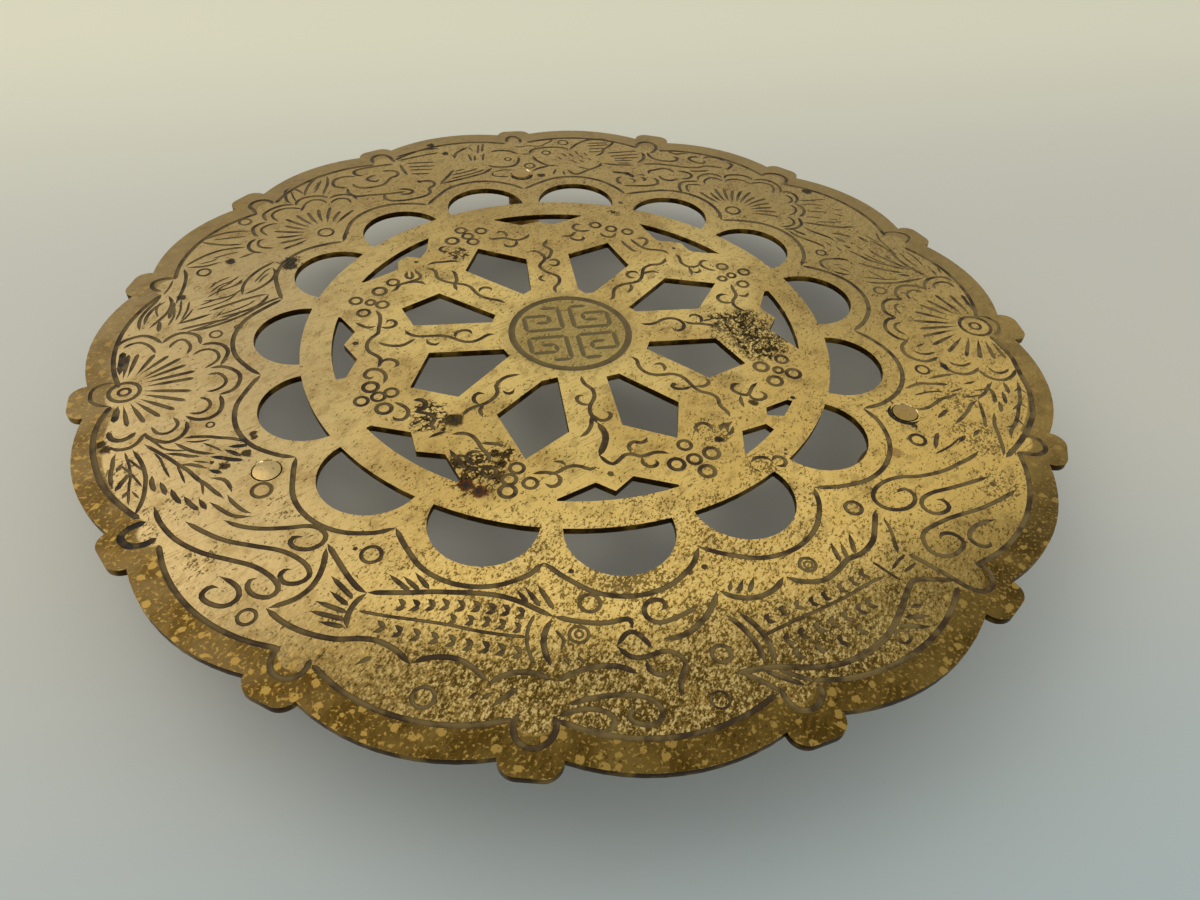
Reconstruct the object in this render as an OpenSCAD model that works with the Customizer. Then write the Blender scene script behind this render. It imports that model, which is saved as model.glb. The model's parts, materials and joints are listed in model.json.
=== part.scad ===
// Pierced brass trivet: one flat plate with a scalloped rim, standing on three turned legs.
// Each leg ends in a tenon that passes through the plate and is hammered out into a
// countersink on its top. Origin: on the table, under the middle of the rim, +Z up and +Y
// towards the rear leg. All sizes are in millimetres.

/* [Plate] */
// Diameter across the long lobes of the rim
plate_d = 229; // [205:1:300]
// Thickness of the sheet
plate_t = 1.6; // [1:0.1:4]
// Height of the plate's top above the table
stand_h = 26; // [18:1:60]

/* [Rim] */
// How many long lobes the rim has, with one half-moon inside each
lobes = 15; // [9:3:21]
// Radius of each long lobe's curve
lobe_curve_r = 41; // [36:1:60]
// How far the tallest tab between the lobes stands out past them
tab_rise = 1.2; // [0:0.1:3]
// Width of the flat top of each tab
tab_flat = 4; // [1:0.2:8]
// Radius of the rounded shoulders of each tab
tab_round = 3.4; // [2.4:0.1:4.4]

/* [Wheel] */
// Diameter of the eight-rayed wheel inside the plain ring
wheel_d = 114.4; // [100:0.2:120]
// Width of the plain ring around the wheel
ring_w = 7.2; // [5:0.2:10]
// How far the wheel's middle lies off the rim's middle, to the right
wheel_off_x = -2.6; // [-4:0.1:4]
// How far the wheel's middle lies off the rim's middle, to the rear
wheel_off_y = 0.7; // [-4:0.1:4]
// How far the half-moons' circle lies off the wheel's middle, to the right
moon_off_x = 0.8; // [-2:0.1:2]
// How far the half-moons' circle lies off the wheel's middle, to the rear
moon_off_y = -0.2; // [-2:0.1:2]
// Metal left between two neighbouring half-moons
moon_web = 4.8; // [3:0.2:8]
// How far the half-moons' centres lie outside the ring
moon_out = 0.8; // [0:0.2:3]

/* [Legs] */
// Distance from the half-moons' outermost reach to the legs' centre lines
leg_set_out = 5.4; // [3:0.2:12]
// Diameter of the flat collar under the plate
collar_d = 13.2; // [11:0.2:16]
// Thickness of the collar
collar_t = 1.6; // [1:0.1:3]
// Diameter of the leg's waist
waist_d = 7.8; // [5:0.2:10]
// Diameter of the leg's belly
belly_d = 12.4; // [10:0.2:18]
// Diameter of the flat foot
foot_d = 9; // [6:0.2:10]

/* [Tenons] */
// Diameter of the tenon through the plate
tenon_d = 5; // [3.6:0.1:6]
// Play between the tenon and its hole, all round
tenon_clear = 0.05; // [0.02:0.01:0.2]
// How far the hammered head spreads past the tenon
head_spread = 0.3; // [0.1:0.1:0.6]
// Gap left between the head and the rim of its countersink
head_gap = 0.35; // [0.1:0.05:0.8]
// Depth of the countersink
sink_depth = 0.7; // [0.3:0.1:0.9]
// Height of the head's dome above the plate
dome_h = 0.35; // [0.1:0.05:0.8]

/* [Hidden] */

$fn = 96;

// One overrun for every cut
cut = 1;

// Rim: the lobes are arcs about points on a circle of lobe_centre_r. The tabs stand between
// them, a little off an even spacing, as they were filed by hand.
plate_r = plate_d / 2;
lobe_centre_r = plate_r - lobe_curve_r;
step_a = 360 / lobes;
tab_wander = [0.6, 0.8, 0, -0.1, -0.7, -1, -2.1, -3, -2.7, -1.9, -0.7, -0.8, -1.1, 0.9, 0.5];
tab_rise_shares = [-0.4, -0.2, 0.8, 0.3, 0.7, 0.2, 0.1, 0.4, 0.6, 0.6, 0.7, 1, 0.5, 0, 1];

// Wheel and ring
wheel_r = wheel_d / 2;
ring_r = wheel_r + ring_w;

// Half-moons: circles cut off straight along the ring's outer edge
moon_centre_r = ring_r + moon_out;
moon_r = moon_centre_r * sin(step_a / 2) - moon_web / 2;
moon_wander = [0.5, 0.3, -0.2, -0.3, -1, -1.6, -2.1, -2.5, -2.4, -1.8, -2.1, -1.4, -1.1, -0.8, 0.5];

// Kite windows between the rays, one list of corners for each. A corner is its angle from
// the window's own axis, and its distance from the wheel's middle as a share of wheel_r.
window_start_a = 22.5;
window_shares = [
    [[11, 0.63], [-2.5, 0.8], [-14.5, 0.62], [-5, 0.34], [2.5, 0.33]],
    [[12.5, 0.62], [-2.5, 0.76], [-16, 0.61], [-8.5, 0.32], [-1.5, 0.3], [5, 0.33]],
    [[1.5, 0.78], [-13, 0.6], [-3, 0.35], [5, 0.34], [14.5, 0.66]],
    [[-11.5, 0.64], [2, 0.75], [11.5, 0.67], [4, 0.34], [-5.5, 0.34]],
    [[-16, 0.61], [-0.5, 0.75], [13, 0.63], [3.5, 0.31], [-6, 0.31]],
    [[-6, 0.36], [3.5, 0.32], [12, 0.64], [0.5, 0.81], [-15, 0.62]],
    [[-6.5, 0.34], [3, 0.35], [11, 0.63], [-1, 0.78], [-14, 0.63]],
    [[-7, 0.35], [2, 0.35], [10, 0.64], [-2.5, 0.77], [-15, 0.65]],
];

// Slots at the rays' ends, each between a toothed edge and the ring. A slot is its axis and
// the corners of its toothed edge, given as the windows' corners are. The last two are one
// slot that its tooth bridges.
slot_shares = [
    [0, [[-15.5, 1], [-7, 0.89], [-2, 0.94], [3.5, 0.9], [10.5, 0.98]]],
    [45, [[-13.5, 1], [-8, 0.92], [-6, 0.91], [-2, 0.94], [1, 0.92], [5, 0.89], [9.5, 0.94], [13.5, 1]]],
    [90, [[-14, 0.99], [-5.5, 0.9], [-0.5, 0.93], [5, 0.91], [12, 0.99]]],
    [135, [[-12, 1], [-7.5, 0.92], [-3, 0.89], [-1, 0.95], [2.5, 0.95], [5.5, 0.91], [9, 0.93], [15.5, 0.99]]],
    [180, [[-13.5, 0.99], [-7.5, 0.91], [-2, 0.95], [4.5, 0.9], [11, 0.96]]],
    [225, [[-15.5, 0.98], [-7.5, 0.89], [-2, 0.95], [4, 0.9], [11, 0.98]]],
    [270, [[-13, 0.99], [-4.5, 0.91], [-0.5, 0.96], [4.5, 0.9], [13, 0.99]]],
    [315, [[-14, 1], [-8, 0.91], [-2, 0.96], [-2.5, 1]]],
    [315, [[3, 1], [1, 0.94], [3.5, 0.92], [9, 0.98]]],
];
// Where a slot's outline closes outside the wheel, before the ring's edge cuts it off
slot_close_share = 1.1;

// Legs: angle about the rim's middle, and distance from it as a share of leg_circle_r
leg_circle_r = moon_centre_r + moon_r + leg_set_out;
leg_angles = [91.8, 207.3, -30.7];
leg_reach_shares = [1.029, 0.995, 0.974];
leg_h = stand_h - plate_t;
collar_r = collar_d / 2;
waist_r = waist_d / 2;
belly_r = belly_d / 2;
foot_r = foot_d / 2;
belly_z_share = 0.27;
waist_z_share = 0.64;
belly_z = leg_h * belly_z_share;
waist_z = leg_h * waist_z_share;
collar_z = leg_h - collar_t;
// The cove under the collar stops short of the collar's edge by this share of its radius
collar_lip_share = 0.88;
// Rounding of the collar's lower edge, as a share of its thickness
collar_edge_share = 0.45;
collar_edge_r = collar_t * collar_edge_share;

// Tenon, head and countersink
tenon_r = tenon_d / 2;
hole_r = tenon_r + tenon_clear;
head_r = tenon_r + head_spread;
sink_r = head_r + head_gap;
head_base_z = stand_h - sink_depth;
dome_r = (head_r * head_r + dome_h * dome_h) / (2 * dome_h);

function wander(table, i) = table[i % len(table)];
function tab_a(i) = 90 + i * step_a + wander(tab_wander, i % lobes);
function lobe_a(i) = (tab_a(i) + tab_a(i + 1)) / 2;
function at(a, r) = [r * cos(a), r * sin(a)];
function corners(axis_a, shares) = [for (c = shares) at(axis_a + c[0], wheel_r * c[1])];

// The whole sheet's outline, before it is pierced
module rim_outline() {
    circle(r = lobe_centre_r);
    for (i = [0 : lobes - 1]) {
        rotate(lobe_a(i))
            translate([lobe_centre_r, 0])
                circle(r = lobe_curve_r);
        rotate(tab_a(i))
            tab(plate_r + tab_rise * wander(tab_rise_shares, i));
    }
}

// One tab, pointing along +X, with its tip at tip_r: flat between two rounded shoulders
module tab(tip_r) {
    for (side = [-1, 1])
        translate([tip_r - tab_round, side * tab_flat / 2])
            circle(r = tab_round);
    translate([lobe_centre_r, -tab_flat / 2])
        square([tip_r - lobe_centre_r, tab_flat]);
}

module half_moons() {
    difference() {
        translate([moon_off_x, moon_off_y])
            for (i = [0 : lobes - 1])
                rotate(90 + (i + 0.5) * step_a + wander(moon_wander, i))
                    translate([moon_centre_r, 0])
                        circle(r = moon_r);
        circle(r = ring_r);
    }
}

module windows() {
    for (i = [0 : len(window_shares) - 1])
        polygon(corners(window_start_a + i * 360 / len(window_shares), window_shares[i]));
}

module slots() {
    intersection() {
        circle(r = wheel_r);
        for (s = slot_shares)
            polygon(concat(
                corners(s[0], s[1]),
                corners(s[0], [[s[1][len(s[1]) - 1][0], slot_close_share], [s[1][0][0], slot_close_share]])
            ));
    }
}

// Where leg i stands
module at_leg(i) {
    rotate(leg_angles[i])
        translate([leg_circle_r * leg_reach_shares[i], 0])
            children();
}

module plate() {
    color("#B8994F")
        difference() {
            translate([0, 0, leg_h])
                linear_extrude(plate_t)
                    rim_outline();
            translate([wheel_off_x, wheel_off_y, leg_h - cut])
                linear_extrude(plate_t + 2 * cut) {
                    half_moons();
                    windows();
                    slots();
                }
            for (i = [0 : len(leg_angles) - 1])
                at_leg(i)
                    tenon_hole();
        }
}

// The tenon's hole, opened out at the top for the head
module tenon_hole() {
    translate([0, 0, leg_h - cut])
        cylinder(r = hole_r, h = plate_t + 2 * cut);
    translate([0, 0, head_base_z])
        cylinder(r1 = hole_r, r2 = sink_r, h = sink_depth);
    translate([0, 0, stand_h])
        cylinder(r = sink_r, h = cut);
}

// Half of the leg's outline, from the foot up to the flat collar: a bowl up to the belly,
// an S curve in to the waist, and a cove out to the collar
function bowl() = [for (t = [0 : 10 : 90])
    [foot_r + (belly_r - foot_r) * sin(t), belly_z * (1 - cos(t))]];
function s_curve() = [for (t = [15 : 15 : 180])
    [waist_r + (belly_r - waist_r) * (1 + cos(t)) / 2, belly_z + (waist_z - belly_z) * t / 180]];
function cove() = [for (t = [10 : 10 : 90])
    [waist_r + (collar_r * collar_lip_share - waist_r) * (1 - cos(t)), waist_z + (collar_z - waist_z) * sin(t)]];
function collar_edge() = [for (t = [-90 : 15 : 0])
    [collar_r - collar_edge_r * (1 - cos(t)), collar_z + collar_edge_r * (1 + sin(t))]];

module leg(i) {
    color("#A88A48")
        at_leg(i) {
            rotate_extrude()
                polygon(concat([[0, 0]], bowl(), s_curve(), cove(), collar_edge(), [[collar_r, leg_h], [0, leg_h]]));
            tenon();
        }
}

// The tenon, with its end hammered out into the countersink and left a little domed
module tenon() {
    translate([0, 0, collar_z])
        cylinder(r = tenon_r, h = head_base_z - collar_z);
    translate([0, 0, head_base_z])
        cylinder(r1 = tenon_r, r2 = head_r, h = sink_depth);
    intersection() {
        translate([0, 0, stand_h + dome_h - dome_r])
            sphere(r = dome_r);
        translate([0, 0, stand_h])
            cylinder(r = head_r, h = dome_h + cut);
    }
}

module leg_rear() { leg(0); }
module leg_left() { leg(1); }
module leg_right() { leg(2); }

plate();
leg_rear();
leg_left();
leg_right();
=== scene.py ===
# Pierced and engraved brass trivet, dressed around its CAD frame. The sheet is cut again here
# with the grooves, rings and pits of its hand engraving. The three legs keep their CAD shape.
import json
import math

import bmesh
import bpy
from mathutils import Matrix, Vector
from mathutils.geometry import interpolate_bezier

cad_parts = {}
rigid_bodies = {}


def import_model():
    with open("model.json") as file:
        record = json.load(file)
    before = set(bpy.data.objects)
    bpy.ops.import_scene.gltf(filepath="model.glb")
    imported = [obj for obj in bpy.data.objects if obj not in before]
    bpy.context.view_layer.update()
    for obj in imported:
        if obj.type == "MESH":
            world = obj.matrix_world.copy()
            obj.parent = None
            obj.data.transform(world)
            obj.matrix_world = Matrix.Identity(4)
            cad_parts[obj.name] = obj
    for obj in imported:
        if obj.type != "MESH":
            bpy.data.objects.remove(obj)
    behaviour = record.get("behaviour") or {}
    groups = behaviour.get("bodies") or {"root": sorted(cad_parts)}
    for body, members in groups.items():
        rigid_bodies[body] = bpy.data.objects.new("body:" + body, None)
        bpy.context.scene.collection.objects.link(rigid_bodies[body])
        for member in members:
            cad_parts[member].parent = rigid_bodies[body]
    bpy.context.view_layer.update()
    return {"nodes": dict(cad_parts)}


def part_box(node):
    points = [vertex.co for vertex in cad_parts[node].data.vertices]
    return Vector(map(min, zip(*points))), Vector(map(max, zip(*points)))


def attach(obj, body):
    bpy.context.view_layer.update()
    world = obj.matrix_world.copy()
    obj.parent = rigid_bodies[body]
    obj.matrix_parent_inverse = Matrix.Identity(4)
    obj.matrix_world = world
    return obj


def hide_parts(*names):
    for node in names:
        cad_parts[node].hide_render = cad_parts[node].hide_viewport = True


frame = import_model()

# Camera
# A phone held at arm's length in front of the table, looking down at the trivet with a
# slight tilt of the hand.
camera = bpy.data.cameras.new("photo_camera")
camera.sensor_width = 36
camera.lens = 26.1
camera.clip_start = 0.01
photo_camera = bpy.data.objects.new("photo_camera", camera)
look_along = Vector((0.1849, 0.6929, -0.6970)).normalized()
hand_tilt = math.radians(4.26)
photo_camera.rotation_mode = "QUATERNION"
aim = look_along.to_track_quat("-Z", "Y").to_matrix() @ Matrix.Rotation(hand_tilt, 3, "Z")
photo_camera.rotation_quaternion = aim.to_quaternion()
photo_camera.location = (-0.0383, -0.1711, 0.1559)
bpy.context.scene.collection.objects.link(photo_camera)
bpy.context.scene.camera = photo_camera

# Sheet
# Rolled brass sheet, sawn and filed to its scalloped outline and pierced with windows, slots
# and half-moons. Use has rubbed its edges bright and left a brown film in front and right. Their
# brightness is partly painted glints, and a painted pale sheen and painted shade lie on the top.
MM = 0.001
edge_wear = 0.3
top_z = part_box("plate")[1].z
wheel_middle = Vector((-2.6, 0.7))


def shade(code):
    """A colour written as sRGB hex, as the linear colour that a shader wants."""
    parts = [int(code[i:i + 2], 16) / 255 for i in (1, 3, 5)]
    return tuple(c / 12.92 if c < 0.04045 else ((c + 0.055) / 1.055) ** 2.4 for c in parts) + (1.0,)


def wire(tree, node, inputs):
    """Sets the inputs of a shader node, with a link where a value comes from another node."""
    for name, value in inputs.items():
        if isinstance(value, bpy.types.NodeSocket):
            tree.links.new(value, node.inputs[name])
        else:
            node.inputs[name].default_value = value


def add(tree, kind, inputs=None, **settings):
    """Adds one shader node, sets it up and wires it."""
    made = tree.nodes.new("ShaderNode" + kind)
    for name, value in settings.items():
        setattr(made, name, value)
    wire(tree, made, inputs or {})
    return made


def new_material(name):
    """A new metal, with its node tree, its shader and the place of each point in metres."""
    material = bpy.data.materials.new(name)
    material.use_nodes = True
    tree = material.node_tree
    tree.nodes.clear()
    metal = add(tree, "BsdfPrincipled", {"Metallic": 1.0})
    add(tree, "OutputMaterial", {"Surface": metal.outputs["BSDF"]})
    return material, tree, metal, add(tree, "TexCoord").outputs["Object"]


def grain(tree, place, size, detail=3.0, stretch=(1, 1, 1), turn=0, output="Fac"):
    """Noise with marks about size mm across, drawn out by stretch in a direction turned by turn."""
    spread = add(
        tree,
        "Mapping",
        {"Vector": place, "Scale": stretch, "Rotation": (0, 0, math.radians(turn))},
        vector_type="TEXTURE",
    )
    noise = add(
        tree,
        "TexNoise",
        {"Vector": spread.outputs["Vector"], "Scale": 1 / (size * MM), "Detail": detail},
    )
    return noise.outputs[output]


def ramp(tree, value, low, high, to_low=0.0, to_high=1.0):
    """A smooth step from low to high."""
    step = add(
        tree,
        "MapRange",
        {"Value": value, "From Min": low, "From Max": high, "To Min": to_low, "To Max": to_high},
        interpolation_type="SMOOTHSTEP",
    )
    return step.outputs["Result"]


def maths(tree, kind, first, second=0.0):
    """The outcome of one operation on two values."""
    return add(tree, "Math", {0: first, 1: second}, operation=kind).outputs["Value"]


def times(tree, cover, share):
    """A cover made thinner by a share, or kept only where another cover lies too."""
    return maths(tree, "MULTIPLY", cover, share)


def summed(tree, total, parts):
    """A total to which each of the parts is added, times its share."""
    for value, share in parts:
        total = maths(tree, "ADD", total, times(tree, value, share))
    return total


def tint(tree, under, over, amount):
    """One colour laid over another."""
    mixed = add(tree, "Mix", {"Factor": amount, 6: under, 7: over}, data_type="RGBA")
    return mixed.outputs[2]


def coated(tree, colour, coats):
    """A colour under thin coats. Each coat is a colour, its cover and how much it hides there."""
    for code, cover, share in coats:
        colour = tint(tree, colour, shade(code), times(tree, cover, share))
    return colour


def bumps(tree, height, strength, depth, under=None):
    """The normals of a surface with bumps depth mm deep, over finer ones where they are given."""
    inputs = {"Height": height, "Strength": strength, "Distance": depth * MM}
    if under is not None:
        inputs["Normal"] = under
    return add(tree, "Bump", inputs).outputs["Normal"]


def around(angle, radius, middle=(0, 0)):
    """A point at an angle in degrees and a distance from a middle."""
    a = math.radians(angle)
    return (middle[0] + radius * math.cos(a), middle[1] + radius * math.sin(a))


def away_from(tree, spot, x, y):
    """Distance in metres from a point given in mm from the middle of the wheel."""
    middle = ((x + wheel_middle.x) * MM, (y + wheel_middle.y) * MM, 0)
    return add(tree, "VectorMath", {0: spot, 1: middle}, operation="DISTANCE").outputs["Value"]


def nearest_of(tree, spot, points):
    """Distance in metres from the nearest of some points."""
    distance = 1.0
    for x, y in points:
        distance = maths(tree, "MINIMUM", away_from(tree, spot, x, y), distance)
    return distance


def blots(tree, spot, places):
    """Cover of soft-edged blots, each an x, a y and a radius in mm from the wheel's middle."""
    cover = 0.0
    for x, y, radius in places:
        inside = ramp(tree, away_from(tree, spot, x, y), 1.2 * radius * MM, 0.75 * radius * MM)
        cover = maths(tree, "MAXIMUM", inside, cover)
    return cover


def flattened(tree, place):
    """A place in plan, with no height."""
    return add(tree, "VectorMath", {0: place, 1: (1, 1, 0)}, operation="MULTIPLY").outputs["Vector"]


def shaken(tree, place, size, reach):
    """A place in plan, pushed about by up to reach mm, to give a blot a ragged edge."""
    noise = grain(tree, place, size, output="Color")
    push = add(tree, "VectorMath", {0: noise, 1: (0.5, 0.5, 0.5)}, operation="SUBTRACT").outputs["Vector"]
    push = add(tree, "VectorMath", {0: push, "Scale": 2 * reach * MM}, operation="SCALE").outputs["Vector"]
    pushed = add(tree, "VectorMath", {0: place, 1: push}, operation="ADD").outputs["Vector"]
    return flattened(tree, pushed)


# The rim's middle lies a little off the wheel's
rim_middle = (2.6, -0.7)
lobe_centre_r = 73.5
border_r = 35.2
horseshoe_r = 104
tab_angles = [
    90.6, 114.8, 138, 161.9, 185.3, 209, 231.9, 255, 279.3, 304.1, 329.3, 353.2, 376.9, 402.9, 426.5,
]
lobes = list(zip(tab_angles, tab_angles[1:] + [tab_angles[0] + 360]))
lobe_centres = [around((tab + next_tab) / 2, lobe_centre_r, rim_middle) for tab, next_tab in lobes]
horseshoe_middles = [around(tab, horseshoe_r, rim_middle) for tab in tab_angles]
medallion_middle = (0.2, -0.4)
medallion_r = 15.8
right_head = (71.1, -41.4)
rear_head = (0, 82.9)
# Spots that have gone black, on the face and in the grooves
black_places = [
    (-73.1, -26.4, 0.9), (-72.8, -27.6, 0.7), (-103, -25.3, 1.1), (-101.7, -27, 1.2), (-67.7, 40.8, 1.8),
    (-68, 38.2, 1.8), (-83.2, 42.3, 1.5), (-22.3, 99, 1.2), (31, 80.6, 0.7), (33.5, 79.6, 0.9),
    (34.7, 77.9, 0.8), (88, 62, 1.7), (-30.8, -28.5, 2.2), (-77.9, -35.3, 1.1), (-74, -32.2, 1.2),
    (-93.5, 27, 1.2), (-30.3, -48.5, 1.6), (-27.8, -50.8, 1.6), (25.3, -43.3, 1), (-22.5, -43.5, 1.2),
    (37, -32.8, 1.1), (-80.6, -34, 0.5), (-31.5, 81, 0.8), (-26.5, 105.3, 1.2), (6.3, 81.3, 1.2),
    (71, -46, 0.9), (88.9, -27, 1),
]
# Black that stays down in the grooves, and painted shadow in the crescents beside two leg heads
inked_and_shadow_places = [
    (-93.5, -48.5, 1.5), (-95, -52, 1), (-93.4, -54.2, 1), (-90.5, -54.2, 1), (-91.8, -49, 1),
    (-80, -32.5, 1.5), (-77, -33.4, 1.5), (-74.5, -33.6, 1.3), (-76, -30.6, 1.5), (-80, -36.7, 1.3),
    (-75, -28.5, 1), (-73, -31.7, 1), (-101.7, -17.5, 1.2), (-103.6, 5, 0.8), (-103.5, 1.5, 0.7),
    (-102.9, 8.6, 0.9),
]
# Painted shadow: black blots along the crescents on the lower side of the right and rear heads
inked_and_shadow_places += [(*around(a, 3.7, right_head), 1) for a in (150, 180, 210, 240, 270, 295)]
inked_and_shadow_places += [(*around(a, 3.5, rear_head), 0.8) for a in (200, 235, 270, 305, 340)]

worn_brass, tree, metal, place = new_material("worn_brass")
in_plan = flattened(tree, place)
axes = add(tree, "SeparateXYZ", {"Vector": place})
toward_front = maths(tree, "SUBTRACT", times(tree, axes.outputs["X"], 0.4), axes.outputs["Y"])
front = ramp(tree, toward_front, 0.015, 0.085)
left = ramp(tree, axes.outputs["X"], -0.03, -0.08)
right = ramp(tree, axes.outputs["X"], 0.035, 0.08)
rear = ramp(tree, axes.outputs["Y"], 0.02, 0.075)
from_middle = away_from(tree, in_plan, *rim_middle)
from_lobe = nearest_of(tree, in_plan, lobe_centres)
outside_border = ramp(tree, from_lobe, (border_r - 0.3) * MM, (border_r + 0.3) * MM)
outside_border = times(tree, outside_border, ramp(tree, from_middle, 88 * MM, 91 * MM))
from_horseshoe = nearest_of(tree, in_plan, horseshoe_middles)
outside_border = times(tree, outside_border, ramp(tree, from_horseshoe, 3.4 * MM, 4.2 * MM))
patches = grain(tree, place, 30, detail=2)
clouds_of_film = grain(tree, place, 9, detail=4)
coarse_specks = grain(tree, place, 0.6, detail=2, stretch=(1.6, 1, 1), turn=55)
fine_specks = grain(tree, place, 0.32, detail=2, stretch=(1.3, 1, 1), turn=55)
brushed = grain(tree, place, 0.7, detail=3, stretch=(5, 1, 1), turn=60)
black_spots = blots(tree, shaken(tree, place, size=1.2, reach=1), black_places)
# Here spilled water ate into the metal
eaten = blots(tree, shaken(tree, place, size=2.5, reach=3), [
    (44.5, -4, 6.5), (46, -11.5, 6.5), (39.5, -1, 3.5), (-28, -45, 6.5), (-24, 39, 3.8), (-68, 40, 3.5),
    (-36, -27, 5), (24, 55, 1.6), (-22, -41, 4),
])
pitted = blots(tree, shaken(tree, place, size=2.5, reach=3), [
    (85, -38, 5.5), (83.5, -52, 5.5), (32, -52, 4), (24, -42, 5), (-80, -60, 3.5), (3, -57, 3),
    (-5, -77.5, 4), (2, -78.5, 4), (80, -66, 5), (-66, -49, 4), (45, -8, 11), (-90, -49, 4), (-85, -46, 4),
    (-98, -35, 4),
])

golden = times(tree, front, maths(tree, "SUBTRACT", 1.0, left))
medallion = blots(tree, in_plan, [(*medallion_middle, medallion_r)])
film = ramp(tree, clouds_of_film, 0.5, 0.72)
smudges = ramp(tree, grain(tree, place, 2.6, detail=3, stretch=(1.6, 1, 1), turn=60), 0.52, 0.68)
hairlines = ramp(tree, grain(tree, place, 0.45, detail=2, stretch=(14, 1, 1), turn=25), 0.6, 0.7)
colour = tint(tree, shade("#E0BF73"), shade("#C9A65E"), ramp(tree, patches, 0.42, 0.6))
# The pale buff on the left is a painted sheen, and the darker tan at the rear is painted shade.
colour = coated(tree, colour, [
    ("#B99F70", left, 0.92),
    ("#A3854A", rear, 0.85),
    ("#9E8247", right, 0.88),
    ("#F2C76C", golden, 0.6),
    ("#988048", medallion, 0.75),
    ("#94743C", film, 0.5),
    ("#8A6C38", smudges, 0.4),
    ("#7C6030", hairlines, 0.45),
])

# Brown film on the rim and the far front, broken by round flecks of bare metal
rim_film = times(tree, outside_border, ramp(tree, axes.outputs["Y"], 0.1, -0.07, 0.35, 1.0))
front_film = ramp(tree, from_middle, 82 * MM, 100 * MM, 0, 0.8)
front_film = times(tree, front_film, ramp(tree, axes.outputs["Y"], -0.06, -0.095))
rim_film = maths(tree, "MAXIMUM", rim_film, front_film)
rim_film = times(tree, rim_film, ramp(tree, clouds_of_film, 0.36, 0.62, 0.84, 1.0))
thin_film = times(tree, right, ramp(tree, axes.outputs["Y"], -0.085, -0.05))
rim_film = times(tree, rim_film, maths(tree, "SUBTRACT", 1.0, times(tree, thin_film, 0.35)))
cells = add(
    tree,
    "TexVoronoi",
    {"Vector": shaken(tree, place, size=0.9, reach=0.6), "Scale": 1 / (2.1 * MM)},
    voronoi_dimensions="2D",
)
reach = ramp(tree, cells.outputs["Color"], 0.42, 0.85, -0.1, 0.42)
flecks = ramp(tree, maths(tree, "SUBTRACT", reach, cells.outputs["Distance"]), -0.02, 0.08)
crumbs = ramp(tree, grain(tree, place, 0.7), 0.56, 0.64)
flecks = maths(tree, "MAXIMUM", flecks, times(tree, crumbs, 0.8))
streaks = times(tree, ramp(tree, brushed, 0.48, 0.66), rim_film)
colour = coated(tree, colour, [
    ("#503A10", rim_film, 0.95),
    ("#8A6A2E", streaks, 0.5),
    ("#38280A", times(tree, rim_film, front), 0.4),
    ("#B4914A", times(tree, flecks, rim_film), 0.7),
])

# Painted glints and dark specks, thickest in front and round the eaten places
speck_front = ramp(tree, away_from(tree, in_plan, 0, -92), 78 * MM, 15 * MM)
off_wheel = ramp(tree, away_from(tree, in_plan, 0, 0), 56 * MM, 66 * MM)
speck_front = times(tree, speck_front, off_wheel)
clumps = maths(tree, "SUBTRACT", grain(tree, place, 3, detail=2), 0.5)
speckle = add(tree, "Mix", {"Factor": 0.45, "A": coarse_specks, "B": fine_specks}).outputs["Result"]
inside_border = maths(tree, "SUBTRACT", 1.0, outside_border)
# Painted highlights: pale flecks beside the dark specks
painted_glints = times(tree, times(tree, ramp(tree, speckle, 0.49, 0.4), 0.5), inside_border)
painted_glints = times(tree, painted_glints, ramp(tree, speck_front, 0, 1, 0.25, 1))
mottle = summed(tree, speckle, [
    (speck_front, 0.055),
    (clumps, 0.12),
    (front, 0.012),
    (left, -0.03),
    (clouds_of_film, 0.1),
    (eaten, 0.08),
    (pitted, 0.06),
    (outside_border, -0.07),
])
dark_specks = ramp(tree, mottle, 0.625, 0.68)
worm_holes = maths(tree, "ABSOLUTE", maths(tree, "SUBTRACT", grain(tree, place, 2.8, detail=2), 0.5))
worm_holes = maths(tree, "MAXIMUM", ramp(tree, worm_holes, 0.06, 0.03), ramp(tree, mottle, 0.72, 0.78))
black = maths(tree, "MAXIMUM", times(tree, eaten, worm_holes), black_spots)
blush_places = [(63, -53.5, 1.5), (-30.3, -48.5, 1.6), (-27.8, -50.8, 1.6)]
blush = blots(tree, shaken(tree, place, size=1.5, reach=1), blush_places)
# The underside was never polished
under = ramp(tree, axes.outputs["Z"], top_z - 0.6 * MM, top_z - 1.3 * MM)
colour = coated(tree, colour, [
    ("#FADB94", painted_glints, 1.0),
    ("#42300F", dark_specks, 0.72),
    ("#2A1D09", black, 0.9),
    ("#6E3626", blush, 0.5),
    ("#6A5226", under, 0.8),
])
skin = summed(tree, 0.0, [(brushed, 0.5), (dark_specks, -0.8), (black, -1.2)])
skin = bumps(tree, skin, strength=0.5, depth=0.12)
waves = grain(tree, place, 14, detail=2)
wire(tree, metal, {
    "Base Color": colour,
    "Roughness": summed(tree, 0.3, [(dark_specks, 0.2), (brushed, 0.2), (black, 0.2)]),
    "Normal": bumps(tree, waves, strength=0.25, depth=1.2, under=skin),
})

graver_patina, tree, metal, place = new_material("graver_patina")
in_plan = flattened(tree, place)
axes = add(tree, "SeparateXYZ", {"Vector": place})
film = ramp(tree, grain(tree, place, 4), 0.36, 0.6)
shallow = ramp(tree, axes.outputs["Z"], top_z - 0.42 * MM, top_z - 0.22 * MM, 0.2, 0.8)
toward_right = maths(tree, "SUBTRACT", axes.outputs["X"], axes.outputs["Y"])
greyed = times(tree, ramp(tree, toward_right, -0.02, 0.1, 0.5, 0.75), shallow)
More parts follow.
